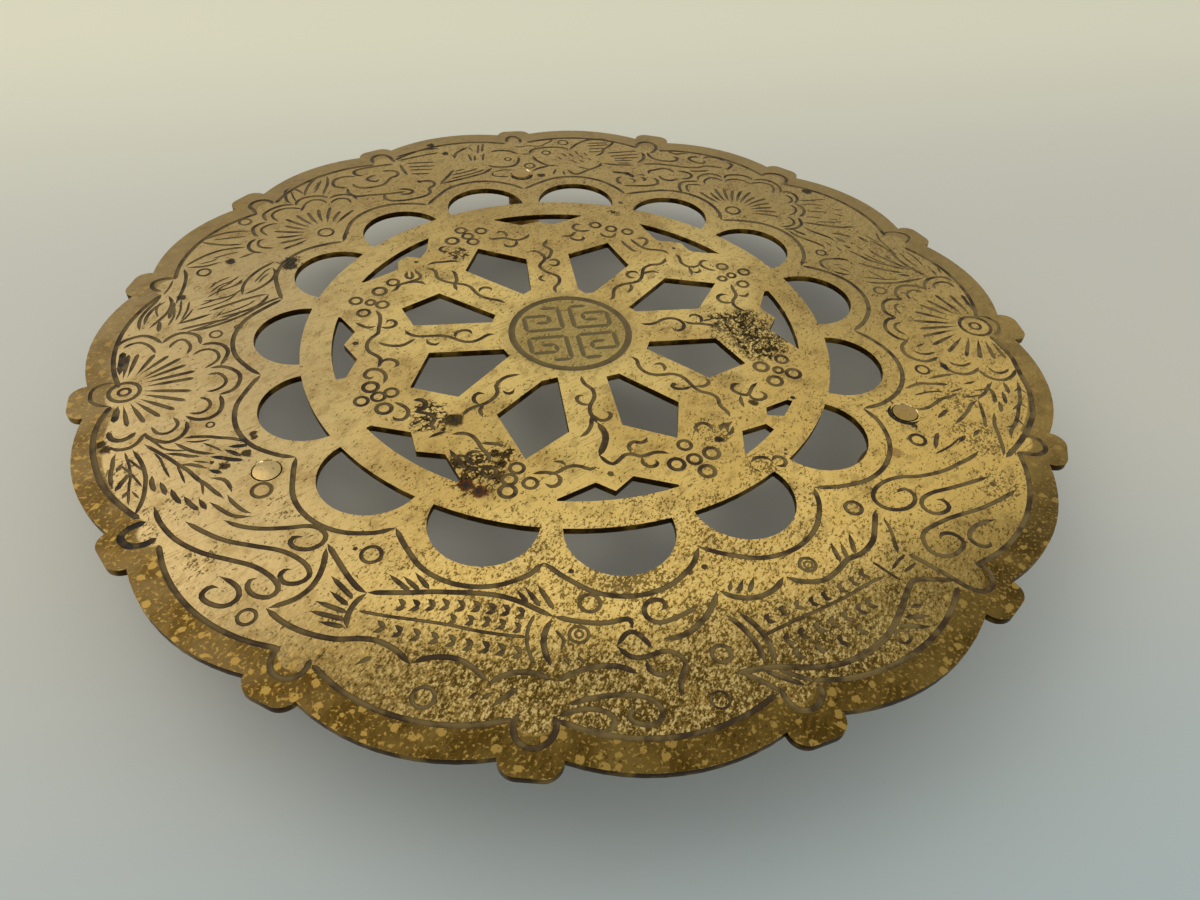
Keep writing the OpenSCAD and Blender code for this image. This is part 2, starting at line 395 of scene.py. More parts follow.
# The lips are darker: patina, with painted shade where the groove wall turns down from the face.
lip = ramp(tree, axes.outputs["Z"], top_z - 0.08 * MM, top_z - 0.02 * MM)
colour = tint(tree, shade("#38260A"), shade("#86703E"), times(tree, film, greyed))
colour = coated(tree, colour, [
    ("#2E1F08", lip, 0.85),
    ("#6A5A34", blots(tree, in_plan, [(*medallion_middle, medallion_r)]), 0.85),
    ("#1B150A", blots(tree, in_plan, black_places + inked_and_shadow_places), 0.9),
])
wire(tree, metal, {
    "Base Color": colour,
    "Metallic": 0.55,
    "Roughness": 0.58,
    "Normal": bumps(tree, grain(tree, place, 0.5), strength=0.3, depth=0.1),
})

sawn_wall, tree, metal, place = new_material("sawn_wall")
old_film = ramp(tree, grain(tree, place, 5), 0.45, 0.65)
saw_marks = grain(tree, place, 0.7, detail=2, stretch=(1, 1, 6))
wire(tree, metal, {
    # Both colours are dark: the walls' old film, with painted shade laid into it.
    "Base Color": tint(tree, shade("#3A280E"), shade("#856830"), old_film),
    "Roughness": 0.48,
    "Normal": bumps(tree, saw_marks, strength=0.5, depth=0.15),
})

# Rubbed edges: burnished brass, painted paler still so that they show as glints of light
rubbed_edge_painted_glint, tree, metal, place = new_material("rubbed_edge_painted_glint")
dull = ramp(tree, grain(tree, place, 2.2, detail=4), 0.47, 0.58)
wire(tree, metal, {
    "Base Color": tint(tree, shade("#F6DDA2"), shade("#94753A"), dull),
    "Roughness": ramp(tree, dull, 0, 1, 0.24, 0.5),
    "Normal": bumps(tree, grain(tree, place, 0.8), strength=0.6, depth=0.25),
})
brass_faces = (worn_brass, graver_patina, sawn_wall, rubbed_edge_painted_glint)
WORN, ENGRAVED, SAWN, RUBBED_GLINT = range(4)

sheet = bmesh.new()
sheet.from_mesh(frame["nodes"]["plate"].data)
bmesh.ops.remove_doubles(sheet, verts=sheet.verts, dist=0.002 * MM)
bmesh.ops.dissolve_limit(
    sheet,
    angle_limit=math.radians(0.5),
    verts=sheet.verts,
    edges=sheet.edges,
    delimit={"NORMAL"},
)
sawn_edges = [e for e in sheet.edges if e.calc_face_angle(0) > math.radians(60)]
sawn_edges = [e for e in sawn_edges if abs(e.verts[0].co.z - e.verts[1].co.z) < 0.001 * MM]
bmesh.ops.bevel(
    sheet,
    geom=sawn_edges,
    offset=edge_wear * MM,
    offset_type="OFFSET",
    segments=2,
    profile=0.5,
    affect="EDGES",
    clamp_overlap=True,
    material=-1,
)
bmesh.ops.triangulate(sheet, faces=sheet.faces)
for face in sheet.faces:
    face.material_index = WORN
plate_mesh = bpy.data.meshes.new("engraved_plate")
sheet.to_mesh(plate_mesh)
sheet.free()
for material in brass_faces:
    plate_mesh.materials.append(material)
plate = bpy.data.objects.new("engraved_plate", plate_mesh)
bpy.context.scene.collection.objects.link(plate)

# Engraving tools
# Each line is one push of a round-nosed graver: it goes in shallow, runs deeper as it widens
# and lifts out again. All places are in mm from the middle of the wheel.
blunt_end = 0.12
swell = 0.7
engraving = bpy.data.collections.new("engraving")
bpy.context.scene.collection.children.link(engraving)


def smooth_line(points, closed=False, step=0.9):
    """Evenly spaced points along a smooth line through the given ones."""
    knots = [Vector((x, y, 0)) for x, y in points]
    count = len(knots)
    line = []
    for i in range(count if closed else count - 1):
        start = knots[i]
        end = knots[(i + 1) % count]
        before = knots[i - 1] if closed or i else start
        after = knots[(i + 2) % count] if closed or i + 2 < count else end
        reach = (end - start).length / 3
        leave = start + (end - before).normalized() * reach
        arrive = end - (after - start).normalized() * reach
        pieces = max(2, round(reach * 3 / step)) + 1
        line += interpolate_bezier(start, leave, arrive, end, pieces)[:-1]
    if not closed:
        line.append(knots[-1])
    return line


def groove(points, width=1.0, rise=2.0, fall=2.0, closed=False, lift=0.4):
    """One graver line. The tool is a round bar whose middle runs above the sheet by lift times
    the width, so a higher lift cuts shallower. Rise and fall are the lengths over which the
    line widens and narrows."""
    line = smooth_line(points, closed)
    lengths = [0]
    for a, b in zip(line, line[1:]):
        lengths.append(lengths[-1] + (b - a).length)
    path = bpy.data.curves.new("groove", "CURVE")
    path.dimensions = "3D"
    path.bevel_depth = MM
    path.bevel_resolution = 2
    path.use_fill_caps = True
    spline = path.splines.new("POLY")
    spline.points.add(len(line) - 1)
    spline.use_cyclic_u = closed
    for point, place, run in zip(spline.points, line, lengths):
        share = 1.0
        if not closed:
            left_over = lengths[-1] - run
            share = min(1.0, (run + blunt_end) / rise, (left_over + blunt_end) / fall)
        x, y = place.xy + wheel_middle
        point.co = (x * MM, y * MM, top_z + lift * width * MM, 1)
        point.radius = width * math.hypot(lift, share ** swell / 2)
    add_cut(bpy.data.meshes.new_from_object(bpy.data.objects.new("groove", path)))
    bpy.data.curves.remove(path)


def add_cut(mesh):
    """Closes a tool's mesh and adds it to the engraving."""
    tool = bmesh.new()
    tool.from_mesh(mesh)
    bmesh.ops.remove_doubles(tool, verts=tool.verts, dist=0.0001 * MM)
    bmesh.ops.recalc_face_normals(tool, faces=tool.faces)
    for face in tool.faces:
        face.material_index = ENGRAVED
    mesh.materials.clear()
    for material in brass_faces:
        mesh.materials.append(material)
    tool.to_mesh(mesh)
    tool.free()
    engraving.objects.link(bpy.data.objects.new("cut", mesh))


def ring(x, y, radius, width=0.7):
    """One ring struck with a hollow punch."""
    groove([around(30 * k, radius, (x, y)) for k in range(12)], width, closed=True)


def rings(places, radius, width=0.7):
    """Rings of one punch at several places."""
    for x, y in places:
        ring(x, y, radius, width)


def pit(x, y, radius, depth=0.25):
    """A round-bottomed pit."""
    ball_r = (radius * radius + depth * depth) / (2 * depth)
    place = Vector(((x + wheel_middle.x) * MM, (y + wheel_middle.y) * MM, top_z + (ball_r - depth) * MM))
    ball = bmesh.new()
    at_place = Matrix.Translation(place)
    bmesh.ops.create_icosphere(ball, subdivisions=2, radius=ball_r * MM, matrix=at_place)
    mesh = bpy.data.meshes.new("pit")
    ball.to_mesh(mesh)
    ball.free()
    add_cut(mesh)


def motif(lines, width=1.0, rise=2.0, fall=2.0):
    """Lines cut with one graver, each given by its points."""
    for points in lines:
        groove(points, width, rise, fall)


# Border line
# A line follows each long lobe of the rim and ends in a small horseshoe inside each tab. On
# two lobes it strays from an even curve, so there it is led point by point.
lobe_spread = 2.62
hand_led = (185.3, 329.3)
for (tab, next_tab), lobe_centre in zip(lobes, lobe_centres):
    if tab in hand_led:
        continue
    turn = (next_tab - tab) / 2 * lobe_spread
    sweep = [(tab + next_tab) / 2 + turn * share for share in (-1, -0.66, -0.33, 0, 0.33, 0.66, 1)]
    groove([around(angle, border_r, lobe_centre) for angle in sweep], width=1.15, rise=1, fall=1)
left_lobe_line = [
    (-103.2, -13.2), (-104.6, -18), (-104.9, -22.5), (-104.2, -27.4), (-103, -31.5), (-101, -36.7),
    (-98.3, -41), (-94.5, -45.5), (-92.3, -47.6),
]
right_lobe_line = [
    (107, -17.1), (107.7, -20.6), (107.9, -26), (107.2, -29.2), (106.2, -33.4), (105.1, -38.3),
    (103.9, -41.2), (102.3, -44.4), (101, -46.7), (99.1, -48.9), (96.8, -51.2), (93.9, -53.8),
    (90.7, -56.2), (86.8, -58.8),
]
groove(left_lobe_line, width=1.3, rise=1, fall=1)
groove(right_lobe_line, width=1.35, rise=1, fall=2)

horseshoes = [
    [(-1.5, 105), (-1.3, 107.5), (0, 109.3), (1.7, 109), (2.9, 107), (3, 104.5)],
    [(-45, 94.5), (-45.4, 97.5), (-44.3, 99.4), (-42, 100), (-40, 98.5), (-39, 96), (-38.3, 94.8)],
    [(-78.3, 67), (-79.2, 69), (-80.3, 70.8), (-80, 72.7), (-78.6, 74.2), (-76.5, 74.5), (-74.7, 73.5),
     (-74, 72)],
    [(-96.3, 35.8), (-98.5, 36), (-100.6, 35.2), (-101.4, 33.3), (-100.5, 31.3), (-98.7, 30.2)],
    [(-65, -81), (-66.4, -83), (-66.2, -86), (-63.8, -87.7), (-61.2, -86.9), (-60, -84.5)],
    [(-27.2, -100.7), (-28.3, -103), (-27.8, -105.7), (-25.5, -107.1), (-22.8, -106.2), (-21.4, -104),
     (-21.5, -102)],
    [(17, -103.8), (17.4, -106.3), (19, -108.4), (21.5, -108.4), (23.6, -106.6), (24, -104.3)],
    [(52.5, -80.5), (55.5, -84), (58.5, -87.7), (60.5, -90.2), (63, -91.3), (65.5, -90), (66.3, -87),
     (64.5, -84.5)],
    [(93.7, -53), (96.3, -53.3), (97.9, -55.5), (97.2, -58), (94.5, -59), (91.8, -58.2), (90.7, -57.7)],
    [(76.8, 73.5), (79, 74.8), (82, 74.3), (84, 72.3), (84.2, 70), (83.2, 68.2), (83.2, 66.7)],
    [(41, 97.5), (42, 99.8), (44, 101), (46.4, 100.4), (47.6, 98.5), (47.3, 96), (45.8, 93.8),
     (44.5, 92.7)],
]
motif(horseshoes, width=1.2, rise=1, fall=1)
left_front_horseshoe = [
    (-91, -48.5), (-93.8, -49.8), (-95, -52), (-93.2, -54.2), (-90.5, -54.2), (-88.5, -53),
]
right_rear_horseshoe = [
    (101.3, 34.5), (103.5, 35.2), (106.3, 34.6), (108.2, 33), (108.3, 31.3), (107.1, 29.8),
    (105.5, 28.6),
]
groove(left_front_horseshoe, width=1.6, rise=1, fall=1)
groove(right_rear_horseshoe, width=0.8, rise=1.5, fall=1.5)

# Line around the half-moons
# A broad, shallow line swings round every half-moon and meets its neighbour in a point.
moon_middle = (0.8, -0.2)
moon_centre_r = 65.2
moon_line_r = 15.8
moon_angles = [
    102.5, 126.3, 149.8, 173.7, 197, 220.4, 243.9, 267.5, 291.6, 316.2, 339.9, 364.6, 388.9, 413.2, 438.5,
]
cusp_r = 73
full_turn = [moon_angles[-1] - 360] + moon_angles + [moon_angles[0] + 360]
for before, moon, after in zip(full_turn, full_turn[1:], full_turn[2:]):
    centre = around(moon, moon_centre_r, moon_middle)
    swing = [around(moon + a, moon_line_r, centre) for a in (-50, -25, 0, 25, 50)]
    first_point = around((before + moon) / 2, cusp_r)
    last_point = around((moon + after) / 2, cusp_r)
    groove([first_point] + swing + [last_point], width=1.45, rise=1.5, fall=1.5, lift=0.7)

# Medallion
# A ring round the middle of the wheel, with squared scrolls inside it.
shallow_cut = 0.8
medallion_ring = [around(30 * k, 14.5, medallion_middle) for k in range(12)]
groove(medallion_ring, width=2.4, closed=True, lift=shallow_cut)
squared_scroll = [
    [(6.0, 10.5), (1.5, 10.5)],
    [(1.5, 10.5), (1.5, 1.5)],
    [(1.5, 1.5), (10.6, 1.5)],
    [(10.6, 1.5), (10.6, 7.4)],
    [(10.6, 7.4), (4.4, 7.4)],
    [(4.4, 7.4), (4.4, 4.5)],
    [(4.4, 4.5), (8.0, 4.5)],
]
middle_x, middle_y = medallion_middle
for side in (-1, 1):
    for end in (-1, 1):
        for points in squared_scroll:
            turned = [(middle_x + side * x, middle_y + end * y) for x, y in points]
            groove(turned, width=1.75, rise=0.8, fall=0.8, lift=shallow_cut)

# Vines and berries on the wheel
# A vine runs down each ray and forks where the ray widens, with a bunch of punched berries
# between the rays.
vines = [
    [(12.6, 11.7), (14, 12.7), (14.7, 15.3), (15.6, 17), (18.2, 18.4), (20.3, 18.7), (22.3, 19.3),
     (23.7, 20.9), (24.5, 23), (25.4, 25.2), (27.8, 26.7), (30.4, 26.8), (32, 28), (32.8, 29.8)],
    [(19.9, 18.6), (19.9, 16.5), (19, 15.1), (17.8, 15)],
    [(24.2, 22.2), (25.7, 23.2), (27.8, 23.4), (29.2, 22.3)],
    [(23.4, 22.7), (22.7, 23.9), (21, 24), (20.1, 22.7), (20.7, 21.3), (22.2, 21.2)],
    [(34.3, 31.4), (33.5, 33), (31.4, 34), (28.8, 34.8), (27.4, 36.2), (26.2, 38.5), (25.3, 40.8)],
    [(26.3, 34.3), (24.9, 34.3), (23.9, 36.2), (23, 38.2), (22.6, 40.4)],
    [(27.6, 36.2), (29.4, 38), (29.9, 39.8), (28.8, 40.8), (27.3, 40.2)],
    [(17.4, 45.2), (17.9, 43.4), (19.5, 42.4), (21, 42.8), (21.9, 44.5)],
    [(13, 50), (11.6, 50.6), (10.4, 49.6), (10.2, 48.2), (11.2, 47), (12.8, 46.5), (15, 46.7)],
    [(5.6, 44.6), (7.6, 44.3), (9, 44.6), (9.7, 45.6), (11, 46.7)],
    [(8.4, 44.2), (8.6, 43), (9.7, 42), (11.2, 41.8), (12.1, 42.7), (11.8, 44)],
    [(36.1, 31.4), (36.7, 29.5), (36.6, 26.7), (37.7, 24.8), (39.4, 24.2), (40.7, 24.7), (41.5, 25.5)],
    [(37.9, 24.5), (38.1, 22.3), (37.7, 20.3)],
    [(38.2, 22.2), (39.3, 21.4), (40.6, 22), (40.7, 23.4)],
    [(44.5, 26.8), (42.6, 26.8), (41.6, 25.2), (42.4, 23.4), (43.9, 22.1), (45.3, 21.8)],
    [(47.2, 14.8), (46.9, 12), (47, 10), (46.4, 8.6), (45.3, 7.3), (44.8, 5.4), (45.5, 3.6), (47.2, 2)],
    [(47.2, 9.8), (48.3, 8.9), (49.6, 8.9), (50.6, 10.4)],
    [(45, 6.4), (42.9, 6.5), (41.6, 7.8), (41.7, 9.4), (42.9, 10.3), (44.6, 10)],
    [(18.4, 0.6), (20.5, 0), (23, 0.6), (24.4, 1.5), (26.6, 1.8), (28.5, 0.8), (29.3, -0.8), (28.9, -2.6),
     (27.8, -3.5), (26.4, -3.3), (26, -2.2)],
    [(29.6, 0.2), (31, -1), (33.3, -1.5), (35.4, -2.2), (37.2, -2.9), (37.9, -4.4), (37.2, -6)],
    [(31.5, 1.2), (32.2, 2.3), (33.5, 2.3), (34.5, 1.1), (34.2, -0.4), (33.4, -1.2)],
    [(34.3, -0.4), (37.3, -0.1)],
    [(1.8, 43.3), (0.8, 41.6), (0.2, 40.2), (1, 39), (1.8, 37.8), (1.6, 36.2), (0.6, 34), (-0.6, 32.6)],
    [(-4.4, 37.8), (-2.8, 37.6), (-1.6, 36.6), (-0.8, 35.2), (-0.6, 33.4), (-1.8, 31.5), (-2.6, 30),
     (-2.2, 28.4), (-1.2, 26.8), (0.2, 25.6), (1.4, 24.4), (1.6, 22.8), (1, 21), (-0.2, 19.6), (-0.5, 18),
     (-0.2, 16.8)],
    [(0, 32.1), (1.6, 32.7), (2.7, 31.9), (2.7, 30.6), (1.9, 29.7), (0.7, 29.9), (0.1, 30.8)],
    [(-2, 25.3), (-3, 24.9), (-3.5, 24), (-3, 22.9), (-1.9, 22.5)],
    [(-14.4, 46.5), (-14, 45.4), (-12, 45.4), (-10, 45.4), (-8.4, 44.4), (-6.6, 43.9), (-5, 44.4),
     (-3.7, 45.4), (-3, 46.9)],
    [(-12.2, 48), (-11.2, 49), (-9.9, 48.6), (-9.4, 47), (-9.7, 45.6)],
    [(-7.4, 44), (-7.1, 42.6), (-7.8, 41.2), (-9, 40.7), (-10.3, 41.2), (-10.8, 42.8)],
    [(-26.3, 43), (-28, 42.5), (-28.5, 41.3), (-27.5, 40.3), (-26, 40.5)],
    [(-32.6, 34), (-31, 35), (-28, 35.2), (-25.5, 35.3), (-23.5, 34.8)],
    [(-33, 32.4), (-31.4, 32), (-30.5, 30.6), (-30.3, 28), (-29.3, 26.5), (-27.7, 25.3), (-26, 24.5),
     (-23.5, 23.6), (-22, 22.1), (-21.2, 20), (-20, 17.9), (-18, 16.4), (-15.6, 15.3), (-14, 13.8)],
    [(-26.6, 30.8), (-25.7, 29.8), (-25.4, 28), (-25.4, 25.7), (-26.1, 23.6), (-25.7, 21)],
    [(-20.2, 19.6), (-19.6, 21.2), (-18.3, 21.6), (-17, 20.9), (-17, 19.8)],
    [(-35.8, 32.4), (-35.4, 31), (-34.6, 29.5), (-34.9, 28), (-36.4, 27.2), (-38.6, 26.3), (-40.2, 25.6),
     (-41.2, 23.7), (-42.6, 22.7)],
    [(-38.3, 26), (-36.3, 26.6), (-34.5, 26), (-33.4, 24.7)],
    [(-37.8, 31.8), (-38.3, 29.5), (-37.2, 28.2), (-36.6, 29.8), (-37, 31.8)],
    [(-51.6, 10.6), (-50.1, 9.1), (-48.5, 8), (-46.6, 8.4)],
    [(-46.5, 15), (-45.6, 12.8), (-45.6, 10), (-46, 7.7), (-46.3, 5.4), (-47.8, 3.8), (-48.7, 2.2),
     (-49, -0.1), (-48.3, -1.9), (-46.9, -3.3), (-46, -4.7), (-46.2, -6.5), (-46.8, -8)],
    [(-44.1, 9.2), (-43.7, 10.3), (-42.4, 10.1), (-41.8, 8.7), (-42.8, 7.5), (-44.4, 7.4), (-45.7, 8)],
    [(-46.4, 1.8), (-44.8, 0.6), (-43, -0.1), (-40.7, -0.2), (-39.1, 0.8), (-37.4, 2.1)],
    [(-39.8, 5.9), (-39.1, 4.3), (-37, 2.9), (-34.2, 2.6), (-31.5, 2.4), (-29.2, 1.5), (-27.8, 0.4),
     (-26, -0.8), (-23.7, -1), (-21.6, 0.1), (-20, 1.2), (-18.2, 1.2)],
    [(-28, 1), (-27.7, 2.8), (-26.1, 3.8), (-24.4, 3.4), (-23.8, 1.9)],
    [(-34.9, 1.4), (-34.5, -0.2), (-32.9, -1), (-31.8, -0.1)],
    [(-45.8, -6.6), (-45.3, -5.4), (-43.7, -5.2), (-42.3, -6.3), (-42.3, -7.7), (-43.3, -8.4)],
    [(-47.6, -10.9), (-48.6, -11.6), (-49.7, -10.5), (-49, -8.7), (-47.4, -8.3), (-45.7, -9.4),
     (-45, -11.6), (-45.6, -13.8)],
    [(-43.6, -20.6), (-41.8, -22), (-40.7, -23.6), (-40.8, -25.4), (-42, -26.7), (-43.6, -26.3),
     (-44, -25.2)],
    [(-39.5, -24.6), (-37, -25.3), (-35.5, -26.5), (-35.2, -28), (-36, -29.5), (-35.2, -31.4)],
    [(-33, -32), (-35.3, -32.6), (-36.9, -33.4)],
    [(-14.4, -15), (-17.5, -15.4), (-19.5, -16.8), (-20.5, -18.6), (-20.4, -20.5), (-21.4, -22.3),
     (-23.5, -24), (-26, -24.8), (-27.8, -25.8), (-29, -27.5)],
    [(-23.3, -20.9), (-24.8, -20.3), (-26, -21.7), (-25.8, -23.3), (-24.8, -24.3)],
    [(-19.2, -20.1), (-18.5, -21.3), (-17.3, -21.3), (-16.5, -20.1)],
    [(-23.8, -24.3), (-25, -26), (-24.7, -28.6)],
    [(-32, -33), (-29.5, -33), (-27.8, -34), (-26.7, -36), (-26, -38.4), (-24.9, -40.5), (-25, -43)],
    [(-26.2, -36.6), (-23, -37.4), (-21, -38.4)],
    [(-26, -39.4), (-28, -39), (-29.5, -40.3), (-29, -42), (-27.3, -42.8)],
    [(-32.8, -37.5), (-31.8, -40), (-30.7, -42.5), (-29.3, -44.2)],
    [(-16.6, -47.4), (-13.8, -47.4), (-12, -48), (-10, -47), (-8, -46.4), (-6, -47), (-4.4, -48),
     (-2.8, -47.5)],
    [(-11.8, -44.6), (-10, -44.9), (-9.3, -46.3)],
    [(-12, -48), (-11.1, -49.6), (-11.8, -51.2), (-13.4, -51.6), (-14.5, -50.4)],
    [(-0.4, -17.6), (-0.5, -19.2), (0, -21), (1, -22.4), (1.3, -24), (1, -25.8), (0, -27.4), (-0.6, -28.6),
     (-0.9, -30.4), (-0.5, -32.6), (0, -34.4)],
    [(-1.2, -24.8), (-2.2, -24.5), (-3, -25.5), (-2.6, -27), (-1.4, -27.8), (-0.3, -27.6)],
    [(-0.6, -31), (0, -32.5), (1, -33.5), (2.4, -33.4), (3.4, -32.4), (3.3, -31.1), (2.4, -30.9)],
    [(-1, -31.5), (-1.3, -34), (-2, -35.6), (-3.2, -37.1), (-4.8, -38.1)],
    [(-1.7, -44), (-0.8, -46), (0.6, -47.2), (2.2, -46.2), (3.6, -45), (5.2, -44.9), (6.8, -45.8),
     (8, -45.8), (10, -45.2), (12, -45.4), (13.3, -46.1)],
    [(5.2, -44.8), (5.1, -43.4), (5.4, -42), (6.6, -41.3), (8, -41.8), (9.2, -41.3), (9.8, -40.2)],
    [(7.2, -46), (7, -47.8), (7.8, -49), (9.2, -49.2), (10.1, -48.3), (9.8, -47.3)],
    [(12.8, -12.2), (13.9, -13.5), (13.9, -16), (14.8, -18.3), (16.3, -19.5), (18.5, -20), (21, -20),
     (23, -21.2), (24, -23), (24.8, -25.3), (26, -27.2), (28, -28.3), (29.2, -30), (29, -32.5), (30, -35),
     (30, -36.6)],
    [(17.5, -16), (19.3, -15.8), (20, -17.3), (19.3, -18.8)],
    [(24.6, -25), (23, -25.6), (21, -25.5), (19.8, -24.4), (20.4, -23)],
    [(25, -25), (26.8, -25.5), (28.5, -24.8), (29, -23.5), (28.2, -22.8)],
    [(36.3, -26), (34.8, -25.8), (33.6, -27.3), (34.5, -29), (36.3, -30), (37.5, -29), (38.5, -27.5),
     (40.4, -26)],
    [(37.3, -29.6), (37.1, -31), (38.2, -32), (40, -31.8), (40.8, -30.4), (39.8, -29.3)],
    [(34.9, -29.8), (34.3, -32), (34.3, -34.2)],
    [(30.2, -38.2), (28.5, -39.4), (28, -41.6)],
    [(21.6, -40.8), (21.2, -39), (22.8, -37.7), (24.4, -38.5), (24.9, -40.5)],
    [(26.5, -41), (27.3, -39.2), (29.5, -38.5)],
    [(27, -42.6), (28.8, -41.6), (29.8, -39.7)],
    [(30, -51.3), (31.5, -50.2), (33.5, -50.4), (34.5, -51.6)],
    [(34.6, -51.6), (36, -50.5), (37.6, -51.6), (36.8, -53.4), (35, -53.1)],
    [(29.8, -53.3), (31.3, -54.4)],
]
motif(vines, width=1.05, rise=1.8, fall=1.8)
broad_vine = [(0, -34), (0.7, -36.4), (0.9, -38.4), (0.2, -40.8), (-1.1, -43.2), (-1.8, -44.5)]
broad_fork = [(-39.4, -20.6), (-37.5, -20.8), (-36.7, -22.3), (-37.7, -23.8), (-39.4, -24.6)]
groove(broad_vine, width=1.6, rise=2, fall=2)
groove(broad_fork, width=1.4, rise=1.5, fall=1.5)

berries = [
    (47.4, 23.3), (52.6, 20), (50.4, 14.3), (25.4, 44.7), (16.9, 49.4), (21, 46.8), (-21.9, 50.9),
    (-16.3, 50), (-20.3, 47.6), (-19.1, 44.5), (-41.8, 27), (-51.3, 19.8), (-44.8, 17.3), (-49.5, 14.3),
    (-44, -17.3), (-46.9, -18.3), (-50.6, -19.3), (-25.3, -45.5), (-21.5, -48.3), (-19.5, -45.3),
    (-17.4, -50), (17.3, -44), (18.2, -48.5), (49.3, -18.5),
]
small_berries = [(48.6, 18.8), (45.6, 17.6), (-47.7, 18.6), (47, -22.3)]
large_berries = [
    (-24.8, 45.6), (-45.3, 23.3), (-48.5, -14.7), (-45.8, -22.5), (-22.3, -51.5), (14, -49.4),
    (22.4, -47.3), (19.9, -52.4), (43.3, -20.5), (50.2, -24.1), (44.8, -26.1),
]
rings(berries, radius=1.45, width=0.9)
rings(small_berries, radius=1.1, width=0.9)
rings(large_berries, radius=1.65, width=1.05)

# Flowers
# Four open flowers, each a punched ring with a row of scalloped petals cut twice over, and
# rays that the graver widened towards their outer ends.
flower_right = [
    [(100.4, 5.1), (100.8, 7.2), (102.3, 9.1), (104.3, 10.2), (106.8, 10.5), (108.7, 10), (110, 8)],
    [(91.1, 1.2), (90.7, 3.9), (91.7, 6), (93.3, 7.4), (95.4, 7.8), (97.5, 7.4), (99.3, 6.4), (100.4, 5.1)],
    [(86, -6.1), (84.6, -4.4), (84.2, -2.4), (85, 0.1), (86.5, 1.6), (88.5, 2.1), (91.2, 1.3)],
    [(84.6, -15.7), (82.5, -14.6), (81.3, -12.5), (80.9, -10.7), (81.5, -8.6), (83.2, -6.6), (86, -6.1)],
    [(89, -23.1), (87.3, -24), (85.2, -24.4), (83.1, -23.5), (81.5, -21.5), (81.2, -19.5), (82.3, -17.2),
     (84.6, -15.7)],
    [(88.8, -25), (89, -27.3), (89.8, -29.2), (91.9, -30.4), (93.9, -30.4), (96, -29.6), (97.3, -28.5)],
    [(96.8, -29.4), (97.2, -31.4), (98.5, -33.1), (100.6, -33.9), (102.7, -33.5), (104.7, -32.3),
     (106.2, -30.6)],
]
flower_left = [
    [(-105.6, 7.9), (-104.8, 9.8), (-102.6, 11.3), (-100.1, 11.8), (-97.6, 10.4), (-95.7, 8.2)],
    [(-95.7, 8.2), (-94.2, 10.4), (-92.1, 11.7), (-89.6, 11.3), (-87.7, 9.8), (-87, 6.7)],
    [(-86.8, 6.4), (-84.6, 6.8), (-82.1, 5.8), (-80.6, 3.3), (-80.9, 0.5), (-81.8, -2)],
    [(-84, -2.7), (-81.5, -2.5), (-79, -3.8), (-77.3, -6), (-77.2, -8.8), (-78.4, -11.3), (-81.2, -12.5)],
    [(-80.9, -12.6), (-80.2, -15.6), (-80.6, -18.4), (-82.5, -20.1), (-85.2, -20.1), (-87.4, -18.7)],
    [(-87.1, -20.3), (-86.6, -22.4), (-87.4, -24.9), (-89.6, -26.5), (-92.1, -25.8), (-94.2, -24.3),
     (-94.9, -22.8)],
    [(-95, -23), (-95.8, -25.5), (-97.3, -27.1), (-99.5, -27.4), (-101, -26.5)],
]
flower_rear_left = [
    [(-58.2, 73.5), (-56.5, 75), (-54, 75.4), (-51.5, 74.5), (-50.3, 72)],
    [(-58.7, 73.8), (-60, 75), (-62.5, 75.3), (-65.5, 74.6), (-67.3, 72.5), (-67.6, 70.2)],
    [(-68, 70.8), (-70.5, 71), (-73, 70), (-75.2, 68), (-76.3, 66), (-75.9, 64), (-75.2, 62.3)],
    [(-75.2, 61.8), (-77, 61), (-78.6, 59), (-78.5, 57), (-77.8, 55), (-76.7, 54.2)],
    [(-77.5, 53), (-78.8, 51.5), (-79.2, 49.5), (-78.7, 47.5), (-77, 46), (-75.3, 46)],
]
flower_rear_right = [
    [(47.8, 65.5), (47.9, 69), (49, 71.5), (51.5, 72.5), (55, 72)],
    [(55.2, 73), (56, 75), (58, 76.3), (60.5, 76.6), (62.5, 75.5), (63.5, 73.5)],
    [(64, 73), (65, 74.7), (67, 75.2), (70, 74.7), (72, 73.3), (73, 71.3)],
    [(73.3, 71), (75, 71.2), (77.5, 70.5), (79.3, 68.5), (80, 66), (79.8, 63.5), (78.7, 62)],
    [(79.8, 62.5), (81.8, 62.3), (83, 60.5), (83.3, 58.5), (82.5, 56.5), (81, 55)],
    [(81, 54.7), (82.3, 53.3), (82.6, 51), (81.5, 48.5), (79.5, 47)],
    [(79, 46.7), (79, 44.5), (78.3, 42.3), (76.3, 40.8), (74, 40.5), (72, 40.7)],
]
